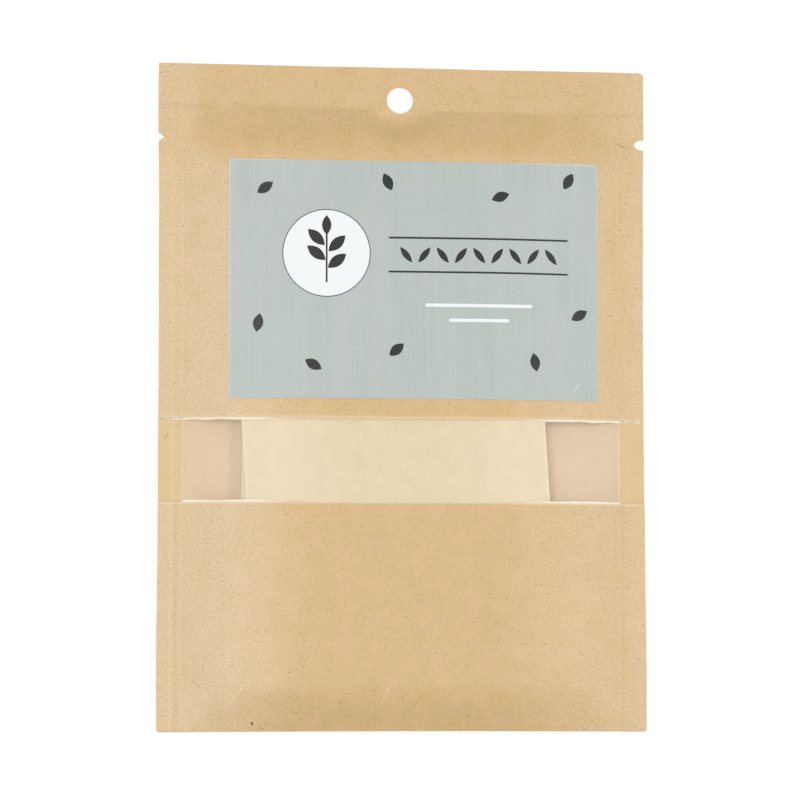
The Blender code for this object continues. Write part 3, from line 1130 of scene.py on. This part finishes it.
@dataclass(frozen=True)
class FilterPaper(Finish):
    """Unbleached tea filter paper: thin, soft and creamy, cloudy with long fibres, with crimped side seams,
    painted lighter towards its sides and at its edge as sheen and highlight.

    Its fibres are about 0.02 mm wide and are drawn 0.12 mm wide, so that they show as faint streaks.

    Attributes:
        half_width: half the bag's width.
        title: the material's name.
        rim: how strongly the painted highlight along the edge shows.
        seam: the side seams' width.
        cream: the paper's colour.
        cloud: the colour of its thicker spots.
        edge: the colour of its edges, of its light fibres, and of its painted sheen and highlight.
        fibres: its light fibres.
    """

    half_width: float
    title: str = "filter paper, unbleached"
    rim: float = 0.8
    seam: float = 6.0
    cream: str = "#FBEDCB"
    cloud: str = "#E0D2AB"
    edge: str = "#FFF4DA"
    fibres: Strands = Strands(1.7, 2.6, 0.12, 0.25, 5.0)

    def shader(self, graph: Graph) -> Socket:
        """Adds the filter paper's nodes, which read the bag's own coordinates in millimetres from its UV map.

        Args:
            graph: the graph to add to.

        Returns:
            The shader's socket.
        """
        own = graph.add("UVMap", uv_map="bag")
        split = graph.add("SeparateXYZ", {0: own}).node.outputs
        across = graph.add("Math", {0: split[0]}, operation="ABSOLUTE")
        fine = graph.add("TexNoise", {"Vector": own, "Scale": 2.2, "Detail": 4.0, "Roughness": 0.7})
        clots = graph.add("TexNoise", {"Vector": own, "Scale": 0.30, "Detail": 3.0})
        spot = graph.add("MapRange", {0: graph.layered(fine, (clots, 0.4)), 1: 0.40, 2: 1.0})
        body = graph.blend(spot, self.cream, self.cloud)
        # Painted sheen: the paper is painted lighter towards its sides, where the curved stack catches the
        # lamps.
        body = graph.blend(graph.band(across, 30.0, 6.0), body, self.edge, 0.26)
        body = graph.blend(self.fibres.mask(graph, own), body, self.edge, 0.35)
        seam_line = self.half_width - self.seam
        in_seam = graph.band(across, seam_line + 0.3, seam_line - 0.1)
        crimp = graph.add("TexWave", {"Vector": own, "Scale": 0.35, "Distortion": 0.4}, bands_direction="Y")
        crimp = graph.add("Math", {0: crimp, 1: in_seam}, operation="MULTIPLY")
        shade = graph.add("MapRange", {0: in_seam, 3: 1.0, 4: 0.985})
        body = graph.add("VectorMath", {0: body, 3: shade}, operation="SCALE")
        # Painted highlight along the bag's cut edge.
        rim = graph.band(across, self.half_width - 0.2, self.half_width - 0.55)
        body = graph.blend(rim, body, self.edge, self.rim)
        shader = graph.surface(body, 0.8, graph.layered(fine, (crimp, 0.25)), 0.5, 0.05)
        shader.node.inputs["Sheen Weight"].default_value = 0.08
        return shader


@dataclass(frozen=True)
class LabelPaper(Finish):
    """Digitally printed label stock, satin: grey-green with the fine upright lines of the printer's heads."""

    title: ClassVar[str] = "label paper, printed satin"
    centre: Point
    half_size: Point
    ground: str = "#BBC4BF"
    lines: str = "#B3BFB8"
    blush: str = "#C3C2C6"
    ink: str = "#15171B"
    white: str = "#F2F6F8"
    cut: str = "#E0D3D0"
    roughness: float = 0.48

    def at(self, across: float, along: float) -> Point:
        """A place on the label, measured from its lower left corner."""
        return (self.centre[0] - self.half_size[0] + across, self.centre[1] - self.half_size[1] + along)

    def emblem(self) -> list[tuple[Mark, str]]:
        """A white disc with a plain sprig, each mark with its ink."""
        disc = self.at(22.0, 33.5)
        stem = (disc[0], disc[1] - 0.6)
        marks = [
            (Mark(Shape.OVAL, disc, (20.2, 20.2), 0.0, 0.01), self.ink),
            (Mark(Shape.OVAL, disc, (19.8, 19.8), 0.0, 0.01), self.white),
            (Mark(Shape.BAR, stem, (12.6, 0.42), 90.0, 0.05), self.ink),
        ]
        for rise, side, turn in ((-2.4, 1, 38.0), (-0.6, -1, 142.0), (1.6, 1, 44.0), (3.0, -1, 136.0)):
            leaf = (disc[0] + side * 2.35, disc[1] + rise + 0.6)
            marks.append((Mark(Shape.LEAF, leaf, (5.4, 2.5), turn, 0.06), self.ink))
        marks.append((Mark(Shape.LEAF, (disc[0], disc[1] + 6.4), (4.6, 2.2), 90.0, 0.06), self.ink))
        return marks

    def rules(self) -> list[tuple[Mark, str]]:
        """Two dark rules with a row of leaves between them, and two short white rules below."""
        rules = ((37.2, 42.0, 0.45, 0.02, self.ink), (29.4, 42.0, 0.45, 0.02, self.ink))
        rules += ((21.8, 25.0, 0.75, 0.03, self.white), (18.4, 14.0, 0.75, 0.03, self.white))
        marks = []
        for along, length, width, edge, ink in rules:
            marks.append((Mark(Shape.BAR, self.at(57.0, along), (length, width), 0.0, edge), ink))
        for step in range(9):
            turn = 52.0 if step % 2 else 128.0
            spot = self.at(40.2 + 4.2 * step, 33.3)
            marks.append((Mark(Shape.LEAF, spot, (4.6, 1.5), turn, 0.08), self.ink))
        return marks

    def loose_leaves(self) -> list[tuple[Mark, str]]:
        """Small dark leaves, scattered over the rest of the label."""
        spots = ((8.0, 48.5, 35.0), (36.0, 50.0, 115.0), (62.0, 47.0, 20.0), (78.0, 51.0, 60.0))
        spots += ((6.5, 17.5, 80.0), (19.0, 8.0, 150.0), (38.0, 11.5, 40.0))
        spots += ((70.0, 9.0, 100.0), (80.5, 20.0, 30.0))
        return [(Mark(Shape.LEAF, self.at(u, v), (4.4, 2.4), turn, 0.08), self.ink) for u, v, turn in spots]

    def cut_rim(self, graph: Graph, place: Socket) -> Socket:
        """1 in the narrow unprinted rim along the label's cut edges.

        Args:
            graph: the graph to add to.
            place: the sheet's coordinates in millimetres.

        Returns:
            The mask's socket.
        """
        off = graph.add("VectorMath", {0: place, 1: (*self.centre, 0.0)}, operation="SUBTRACT")
        off = graph.add("VectorMath", {0: off}, operation="ABSOLUTE")
        split = graph.add("SeparateXYZ", {0: off}).node.outputs
        beside = graph.add("Math", {0: split[0], 1: self.half_size[0]}, operation="SUBTRACT")
        above = graph.add("Math", {0: split[1], 1: self.half_size[1]}, operation="SUBTRACT")
        past_edge = graph.add("Math", {0: beside, 1: above}, operation="MAXIMUM")
        return graph.band(past_edge, -0.12, -0.34)

    def shader(self, graph: Graph) -> Socket:
        """Adds the label's nodes.

        Args:
            graph: the graph to add to.

        Returns:
            The shader's socket.
        """
        place = graph.place()
        # Streaks about 0.5 mm apart, which run 40 mm along the label.
        stretched = graph.add("VectorMath", {0: place, 1: (1.9, 0.025, 0.0)}, operation="MULTIPLY")
        streak = graph.add("TexNoise", {"Vector": stretched, "Scale": 1.0, "Detail": 3.0, "Roughness": 0.7})
        wide = graph.add("VectorMath", {0: place, 1: (0.16, 0.02, 0.0)}, operation="MULTIPLY")
        wide = graph.add("TexNoise", {"Vector": wide, "Scale": 1.0, "Detail": 2.0})
        grain = graph.add("TexNoise", {"Vector": place, "Scale": 2.6, "Detail": 2.0})
        greener = graph.add("MapRange", {0: streak, 1: 0.35, 2: 0.65})
        body = graph.blend(greener, self.ground, self.lines)
        pinker = graph.add("MapRange", {0: wide, 1: 0.45, 2: 0.75, 3: 0.0, 4: 0.7})
        body = graph.blend(pinker, body, self.blush)
        tone = graph.add("MapRange", {0: grain, 1: 0.3, 2: 0.7, 3: 0.965, 4: 1.035})
        body = graph.add("VectorMath", {0: body, 3: tone}, operation="SCALE")
        for mark, ink in [*self.emblem(), *self.rules(), *self.loose_leaves()]:
            body = graph.blend(mark.mask(graph, place), body, ink)
        scratch = Mark.between(self.at(78.5, 1.9), self.at(80.9, 4.6), 0.25)
        body = graph.blend(scratch.mask(graph, place), body, self.white, 0.55)
        body = graph.blend(self.cut_rim(graph, place), body, self.cut, 0.45)
        return graph.surface(body, self.roughness, grain, 0.2, 0.02)


@dataclass
class Punches:
    """The hang hole and the two tear notches, as upright punches.

    Attributes:
        form: the pack's form.
        hole_diameter: its diameter.
        notch_below_top: how far below the top edge the notches are.
        notch_height: their height.
        left_depth: the left notch's depth.
        left_narrowing: the left notch's height as a share of the right one's.
        right_depth: the right notch's depth.
        right_drop: how much lower the right notch is.
    """

    form: PackForm
    hole_diameter: float = 6.1
    notch_below_top: float = 17.1
    notch_height: float = 2.4
    left_depth: float = 1.35
    left_narrowing: float = 0.84
    right_depth: float = 1.95
    right_drop: float = 0.15

    def oval(self, name: str, centre: Point, radii: Point, sides: int = 64) -> Object:
        """Adds one oval punch that goes through the whole pack, or a diamond if it has four sides.

        Args:
            name: the punch's name.
            centre: where it goes through.
            radii: half its width and half its height.
            sides: how many sides it has.

        Returns:
            The punch's object.
        """
        bpy.ops.object.select_all(action="DESELECT")
        spot = (centre[0] * MM, centre[1] * MM, 0.0)
        bpy.ops.mesh.primitive_cylinder_add(vertices=sides, radius=1.0, depth=30 * MM, location=spot)
        punch = bpy.context.object
        punch.name = name
        punch.scale = (radii[0] * MM, radii[1] * MM, 1.0)
        bpy.ops.object.transform_apply(location=True, rotation=True, scale=True)
        return punch

    def make(self) -> list[Object]:
        """Adds the punches."""
        side, along = self.form.half_width, self.form.top - self.notch_below_top
        radius, half_height = self.hole_diameter / 2, self.notch_height / 2
        left_half = self.left_narrowing * half_height
        return [
            self.oval("hole_punch", self.form.hole, (radius, radius)),
            self.oval("left_punch", (-side, along), (self.left_depth, left_half), 4),
            self.oval("right_punch", (side, along - self.right_drop), (self.right_depth, half_height)),
        ]

    def remove(self, punches: Sequence[Object]) -> None:
        """Removes the punches once they have been used."""
        for punch in punches:
            bpy.data.meshes.remove(punch.data)


@dataclass
class Pouch:
    """The paper of the pouch: one sheet for the back, fold and lower front, and one for the upper front.

    Attributes:
        form: the pack's form.
        fine: the grid's spacing over the front.
        edge: the spacing at the seals and the cut edges.
        coarse: the spacing along the back.
        fold_steps: how many steps the bottom fold has.
        cut_run: how far from the window's cut edges the spacing is close.
        seal_run: how far from a seal it is close.
        end_run: how far from the pouch's two ends it is close.
    """

    form: PackForm
    fine: float = 0.9
    edge: float = 0.35
    coarse: float = 1.6
    fold_steps: int = 8
    cut_run: float = 1.4
    seal_run: float = 1.5
    end_run: float = 1.2

    def columns(self) -> Array:
        """Stations across the pouch, close together at its seals."""
        form = self.form
        half = [0.0, form.crown_start, form.crown_end, form.reach]
        half += [form.seal_inner - self.seal_run, form.half_width]
        right = spaced(half, [self.fine] * 4 + [self.edge])
        return np.concatenate([-right[:0:-1], right])

    def upper_rows(self) -> Array:
        """Stations along the upper front, close together at its cut edges and at the top seal."""
        form, low, high = self.form, self.form.window_high, self.form.top
        stops = [low, low + self.cut_run, form.stack_high, form.seal_low - self.seal_run]
        stops += [form.seal_low + 1.0, high - self.end_run, high]
        return spaced(stops, [self.edge, self.fine, self.fine * 0.8, self.edge, self.fine, self.edge])

    def body(self, finishes: Sequence[Material]) -> Object:
        """Builds the sheet that makes the back, the bottom fold and the lower front.

        Args:
            finishes: the finishes of its outer face, inner face and cut edge.

        Returns:
            The sheet's object.
        """
        form = self.form
        back_stops = [form.fold_centre, form.stack_low, form.stack_high, form.seal_low, form.top]
        back = spaced(back_stops, [self.coarse] * 4)
        turn = pi * np.arange(1, self.fold_steps) / self.fold_steps
        stops = [form.fold_centre, form.fold_centre + self.end_run, form.stack_low]
        stops += [form.window_low - self.cut_run, form.window_low]
        front = spaced(stops, [self.edge, self.fine * 0.8, self.fine, self.edge])
        value = np.concatenate([back[::-1], turn, front])
        run = np.array([Run.BACK] * len(back) + [Run.FOLD] * len(turn) + [Run.FRONT] * len(front))
        columns = self.columns()

        def place(column: Array, row: Array) -> Array:
            """Places of the sheet's middle. A row's value is its place along, or on the fold its angle."""
            across, at, part = columns[column], value[row], run[row]
            along = np.where(part == Run.FOLD, form.fold_centre - form.fold_radius * np.sin(at), at)
            x, y = form.outline(across, along)
            y = np.where(part == Run.FRONT, form.front_outline(across, along)[1], y)
            middle = form.seal_lift + form.paper / 2 + form.fold_radius
            fold = middle - form.fold_radius * np.cos(at) + form.relief(x, y) * (at / pi)
            upper = form.front_underside(x, y) + form.paper / 2
            lower = form.back_underside(x, y) + form.paper / 2
            z = np.where(part == Run.FRONT, upper, np.where(part == Run.BACK, lower, fold))
            return np.stack([x, y, z], axis=1)

        sheet = station_sheet("pouch_paper_body", columns, value, place)
        thicken(sheet, form.paper, finishes)
        return sheet

    def upper_front(self, finishes: Sequence[Material]) -> Object:
        """Builds the upper front sheet.

        Args:
            finishes: the finishes of its outer face, inner face and cut edge.

        Returns:
            The sheet's object.
        """
        form = self.form
        columns, rows = self.columns(), self.upper_rows()

        def place(column: Array, row: Array) -> Array:
            """Places of the sheet's middle."""
            x, y = form.front_outline(columns[column], rows[row])
            return np.stack([x, y, form.front_underside(x, y) + form.paper / 2], axis=1)

        sheet = station_sheet("pouch_paper_upper_front", columns, rows, place)
        thicken(sheet, form.paper, finishes)
        return sheet


@dataclass
class Window:
    """The clear film strip that closes the window, lapped behind the paper above and below it.

    Attributes:
        form: the pack's form.
        pouch: the pouch, whose columns it shares.
        lap: how far it reaches behind the paper.
        behind: how far behind the paper the close spacing starts.
        inside: how far into the window it ends.
    """

    form: PackForm
    pouch: Pouch
    lap: float = 6.0
    behind: float = 0.5
    inside: float = 1.5

    def film(self, finish: Material) -> Object:
        """Builds the film."""
        form, low, high = self.form, self.form.window_low, self.form.window_high
        columns = self.pouch.columns()
        stops = [low - self.lap, low - self.behind, low + self.inside]
        stops += [high - self.inside, high + self.behind, high + self.lap]
        rows = spaced(stops, [2.0, self.pouch.edge, 1.0, self.pouch.edge, 2.0])

        def place(column: Array, row: Array) -> Array:
            """Places of the film's middle."""
            x, y = form.outline(columns[column], rows[row])
            return np.stack([x, y, form.film_underside(x, y) + form.film / 2], axis=1)

        sheet = station_sheet("clear_window_film", columns, rows, place)
        thicken(sheet, form.film, [finish])
        return sheet


@dataclass
class Label:
    """The printed label on the upper front, the size of a card.

    Attributes:
        form: the pack's form.
        low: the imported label's lower left corner.
        high: its upper right corner.
        thickness: its thickness.
        fine: the grid's spacing.
        foot_lift: how far its lower edge is moved up.
        head_lift: how far its upper edge is moved up at the sides.
        head_bow: how much less that is along the middle.
        spread: how much it is widened, and how much more at its upper edge.
        shift: how far it is moved to the right.
    """

    form: PackForm
    low: Vector
    high: Vector
    thickness: float = 0.10
    fine: float = 0.9
    foot_lift: float = 0.30
    head_lift: float = 0.22
    head_bow: float = 0.40
    spread: Point = (0.0012, 0.004)
    shift: float = -0.13

    def sheet(self, finish: Material) -> Object:
        """Builds the label."""
        form = self.form
        columns = spaced([self.low.x, self.high.x], [self.fine])
        rows = spaced([self.low.y, self.high.y], [self.fine])
        middle = (self.low.x + self.high.x) / 2

        def place(column: Array, row: Array) -> Array:
            """Places of the label's middle."""
            x, y = columns[column], rows[row]
            along = (y - self.low.y) / (self.high.y - self.low.y)
            crown = (form.pitch(x) - form.edge_pitch) / form.loft
            y = y + self.foot_lift * (1 - along) + (self.head_lift - self.head_bow * crown) * along
            x = x + (self.spread[0] + self.spread[1] * along) * (x - middle) + self.shift
            return np.stack([x, y, form.label_underside(x, y) + self.thickness / 2], axis=1)

        label = station_sheet("printed_label", columns, rows, place)
        thicken(label, self.thickness, [finish])
        return label


@dataclass
class FilterStack:
    """The filters in the pouch: flat bags of two plies, crimped down the sides and the bottom, open on top.

    Attributes:
        form: the pack's form.
        width: a filter's width.
        length: its length.
        ply: a ply's thickness.
        side_seam: the side seams' width.
        bottom_seam: the bottom seam's width.
        turn: the top filter's turn in degrees.
        lean: the turn of the filters under it.
        shift: how far the stack lies off the pack's middle.
        top_shift: how much further the top filter lies off it.
        under_shift: the same for the filters under it.
        stray: how far a filter under it may lie off the stack, in millimetres, and turn, in degrees.
        spacing: the grid's spacing.
        pocket_steps: how many steps the pocket has along the filter.
    """

    form: PackForm
    width: float = 69.3
    length: float = 115.5
    ply: float = 0.06
    side_seam: float = 6.0
    bottom_seam: float = 5.0
    turn: float = 3.6
    lean: float = -0.9
    shift: float = -2.25
    top_shift: float = -0.08
    under_shift: float = 0.15
    stray: float = 0.12
    spacing: float = 1.5
    pocket_steps: int = 24

    def blank(self) -> Object:
        """Models one bag as a slab 1 mm thick, with the pocket sunk in from its open end.

        Returns:
            The blank's object, with its thickness still to be set.
        """
        blank = add_grid(round(self.width / self.spacing), round(self.length / self.spacing))
        write_places(blank, read_places(blank) * (self.width / 2 * MM, self.length / 2 * MM, 0.0))
        bpy.ops.object.mode_set(mode="EDIT")
        bpy.ops.mesh.select_all(action="SELECT")
        bpy.ops.mesh.extrude_region_move(TRANSFORM_OT_translate={"value": (0.0, 0.0, MM)})
        bpy.ops.mesh.select_mode(type="FACE")
        bpy.ops.mesh.select_all(action="DESELECT")
        bpy.ops.object.mode_set(mode="OBJECT")
        reach = (self.width / 2 - self.side_seam) * MM
        mouth = self.length / 2 * MM - MM / 100
        for face in blank.data.polygons:
            face.select = face.center.y > mouth and abs(face.center.x) < reach
        bpy.ops.object.mode_set(mode="EDIT")
        bpy.ops.mesh.inset(thickness=0.25 * MM, use_boundary=True)
        step = (self.length - self.bottom_seam) / self.pocket_steps * MM
        for _ in range(self.pocket_steps):
            bpy.ops.mesh.extrude_region_move(TRANSFORM_OT_translate={"value": (0.0, -step, 0.0)})
        bpy.ops.mesh.select_all(action="SELECT")
        bpy.ops.mesh.normals_make_consistent(inside=False)
        bpy.ops.object.mode_set(mode="OBJECT")
        return blank

    def bag(self, blank: Object, number: int, finish: Material) -> Object:
        """Copies the blank and lays it in the stack.

        Args:
            blank: the blank that every bag is copied from.
            number: the bag's number from the bottom, from 0.
            finish: the bag's finish.

        Returns:
            The bag's object.
        """
        bag = bpy.data.objects.new(f"filter_bag_{number + 1:02d}", blank.data.copy())
        bpy.context.scene.collection.objects.link(bag)
        flat = read_places(blank) / MM
        self.own_map(bag, flat)
        draw = np.random.default_rng(number)
        off_x, off_y, lean = draw.uniform(-self.stray, self.stray, 3)
        off_x += self.under_shift
        lean += self.lean
        if number == self.form.count - 1:
            off_x, off_y, lean = self.top_shift, 0.0, self.turn
        angle = radians(lean)
        middle = (self.form.stack_low + self.form.stack_high) / 2
        x = flat[:, 0] * cos(angle) - flat[:, 1] * sin(angle) + self.shift + off_x
        y = flat[:, 0] * sin(angle) + flat[:, 1] * cos(angle) + middle + off_y
        pitch = self.form.pitch(x)
        lower = self.form.stack_base + number * pitch
        upper = lower + pitch - self.form.gap
        # The blank's four levels, from 0 to 1 mm, become the outer and inner faces of the two plies.
        level = flat[:, 2]
        z = np.where(level < 0.1, lower, np.where(level < 0.5, lower + self.ply, upper - self.ply))
        z = np.where(level > 0.9, upper, z)
        write_places(bag, np.stack([x, y, z], axis=1) * MM)
        bag.data.materials.append(finish)
        return bag

    def own_map(self, bag: Object, flat: Array) -> None:
        """Gives a bag a UV map that holds its own flat coordinates in millimetres."""
        corners = np.empty(len(bag.data.loops), dtype=int)
        bag.data.loops.foreach_get("vertex_index", corners)
        layer = bag.data.uv_layers.new(name="bag")
        layer.uv.foreach_set("vector", flat[corners, :2].ravel())

    def make(self, under: Material, top: Material) -> list[Object]:
        """Builds the whole stack, from the bottom up, with a finish of its own for the top filter."""
        blank = self.blank()
        finishes = [under] * (self.form.count - 1) + [top]
        bags = [self.bag(blank, number, finish) for number, finish in enumerate(finishes)]
        bpy.data.meshes.remove(blank.data)
        return bags


@dataclass(frozen=True)
class Camera:
    """The photograph's camera, fitted to the pouch's and the label's corners.

    Attributes:
        place: where it is, in millimetres.
        focal_pixels: its focal length in pixels of the photograph.
        turns: its yaw, pitch and roll in degrees.
        sensor: the sensor's width.
    """

    place: tuple[float, float, float] = (-80.54, -62.86, 750.0)
    focal_pixels: float = 3294.47
    turns: tuple[float, float, float] = (6.105, -4.717, 0.018)
    sensor: float = 36.0

    def make(self) -> None:
        """Adds the camera and makes it the scene's."""
        data = bpy.data.cameras.new("photo_camera")
        data.sensor_width = self.sensor
        data.sensor_fit = "HORIZONTAL"
        data.lens = self.focal_pixels * self.sensor / PHOTO_WIDTH
        data.clip_start = 0.05
        camera = bpy.data.objects.new("photo_camera", data)
        bpy.context.scene.collection.objects.link(camera)
        yaw, pitch, roll = (radians(turn) for turn in self.turns)
        view = Matrix.Rotation(roll, 3, "Z") @ Matrix.Rotation(pitch, 3, "X") @ Matrix.Rotation(yaw, 3, "Y")
        spot = Matrix.Translation(Vector(self.place) * MM)
        camera.matrix_world = spot @ view.transposed().to_4x4()
        bpy.context.scene.camera = camera


@dataclass(frozen=True)
class Softbox:
    """A soft lamp aimed at the pack.

    Attributes:
        name: the lamp's name.
        lean: its angle off the vertical, in degrees, to the right.
        size: the lamp's width and height in millimetres.
        level: how bright a white sheet looks that lies flat under it alone.
        tint: its colour.
        distance: how far it is from the pack, in millimetres.
    """

    name: str
    lean: float
    size: Point
    level: float
    tint: str
    distance: float = 900.0

    def make(self) -> None:
        """Adds the lamp."""
        data = bpy.data.lights.new(self.name, "AREA")
        data.shape = "RECTANGLE"
        data.size = self.size[0] * MM
        data.size_y = self.size[1] * MM
        data.color = colour(self.tint)[:3]
        way = Vector((sin(radians(self.lean)), 0.0, cos(radians(self.lean))))
        far = self.distance * MM
        # An area lamp of P watts gives P / (pi d d) watts per square metre straight ahead of it.
        data.energy = self.level * pi * pi * far * far / way.z
        lamp = bpy.data.objects.new(self.name, data)
        bpy.context.scene.collection.objects.link(lamp)
        lamp.location = way * far
        lamp.rotation_mode = "QUATERNION"
        lamp.rotation_quaternion = (-way).to_track_quat("-Z", "Y")


@dataclass(frozen=True)
class TableTop(Finish):
    """A white table, white to the camera and in reflections, with the pack's shadow kept faint.

    Attributes:
        glow: the part of its white that shadows don't reach.
        soft: the part that they reach.
        paint: how much light it gives back to the pack.
    """

    title: ClassVar[str] = "studio floor"
    glow: float = 0.80
    soft: float = 0.26
    paint: float = 0.8

    def shader(self, graph: Graph) -> Socket:
        """Adds the table's nodes.

        Args:
            graph: the graph to add to.

        Returns:
            The shader's socket.
        """
        paint = graph.add("BsdfDiffuse", {"Color": (self.paint, self.paint, self.paint, 1.0)})
        soft = graph.add("BsdfDiffuse", {"Color": (self.soft, self.soft, self.soft, 1.0)})
        glow = graph.add("Emission", {"Color": WHITE, "Strength": self.glow})
        shown = graph.add("AddShader", {0: soft, 1: glow})
        rays = graph.add("LightPath").node.outputs
        kinds = ("Is Camera Ray", "Is Glossy Ray", "Is Transmission Ray")
        seen = graph.strongest(*((rays[kind], 1.0) for kind in kinds))
        return graph.add("MixShader", {0: seen, 1: paint, 2: shown})


@dataclass(frozen=True)
class Studio:
    """A white table in an even room, with soft lamps on both sides.

    Attributes:
        room: how bright a white sheet looks under the room's light alone.
        lamps: the lamps.
    """

    room: float = 0.46
    lamps: tuple[Softbox, ...] = (
        Softbox("left_softbox", -18.0, (360.0, 260.0), 0.34, "#FFFDFA"),
        Softbox("right_softbox", 32.0, (340.0, 260.0), 0.23, "#FAFCFF"),
    )

    def floor(self) -> None:
        """Adds the table, just under the pack."""
        bpy.ops.object.select_all(action="DESELECT")
        bpy.ops.mesh.primitive_plane_add(size=6.0, location=(0.0, 0.0, -0.02 * MM))
        floor = bpy.context.object
        floor.name = "studio_floor"
        floor.data.materials.append(TableTop().material())

    def world(self) -> None:
        """Lights the room evenly, and shows white to the camera."""
        world = bpy.data.worlds.new("studio_room")
        world.use_nodes = True
        world.node_tree.nodes.clear()
        graph = Graph(world.node_tree)
        light = graph.add("Background", {"Color": WHITE, "Strength": self.room})
        white = graph.add("Background", {"Color": WHITE, "Strength": 1.0})
        rays = graph.add("LightPath").node.outputs
        seen = graph.strongest((rays["Is Camera Ray"], 1.0), (rays["Is Transmission Ray"], 1.0))
        graph.add("OutputWorld", {"Surface": graph.add("MixShader", {0: seen, 1: light, 2: white})})
        bpy.context.scene.world = world

    def make(self) -> None:
        """Adds the table, the room and the lamps."""
        self.floor()
        self.world()
        for lamp in self.lamps:
            lamp.make()
        bpy.context.scene.view_settings.view_transform = "Standard"


def pack_form() -> PackForm:
    """The pack's form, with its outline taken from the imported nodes."""
    low, high = node_box("pouch_body")
    window_high = node_box("pouch_upper_front")[0].y
    window_low = node_box("window_film")[0].y + Window.lap
    return PackForm(high.x, high.y, low.y, window_low, window_high)


def main() -> None:
    """Builds the pieces in order, dresses them and sets the stage."""
    logging.basicConfig(level=logging.INFO, format="%(message)s")
    form = pack_form()
    pouch = Pouch(form)
    paper = [BrownPaper(form).material(), LinedPaper(form).material(), CutEdge().material()]
    body = pouch.body(paper)
    upper_front = pouch.upper_front(paper)
    film = Window(form, pouch).film(ClearFilm(form).material())
    cutter = Punches(form)
    punches = cutter.make()
    for sheet in (body, upper_front):
        punch_out(sheet, punches)
    cutter.remove(punches)
    finish_piece(body, ["pouch_body"])
    finish_piece(upper_front, ["pouch_upper_front"])
    finish_piece(film, ["window_film"])

    low, high = node_box("label")
    centre, half = (low + high) / 2, (high - low) / 2
    label_paper = LabelPaper((centre.x, centre.y), (half.x, half.y))
    finish_piece(Label(form, low, high).sheet(label_paper.material()), ["label"])

    stack = FilterStack(form)
    top = FilterPaper(stack.width / 2, seam=stack.side_seam)
    # The filters under the top one lie in its shade: a copy of the filter paper with painted shade, darker
    # all over, which shows no pale edge, no painted highlight.
    shaded = FilterPaper(
        stack.width / 2,
        title="filter paper, under the top filter",
        rim=0.1,
        seam=stack.side_seam,
        cream="#F3E1BE",
        cloud="#D9C8A0",
        edge="#F7EAD2",
    )
    bags = stack.make(shaded.material(), top.material())
    for number, bag in enumerate(bags, start=1):
        finish_piece(bag, [f"tea_filter_{number:02d}"])

    Camera().make()
    Studio().make()


if __name__ == "__main__":
    main()
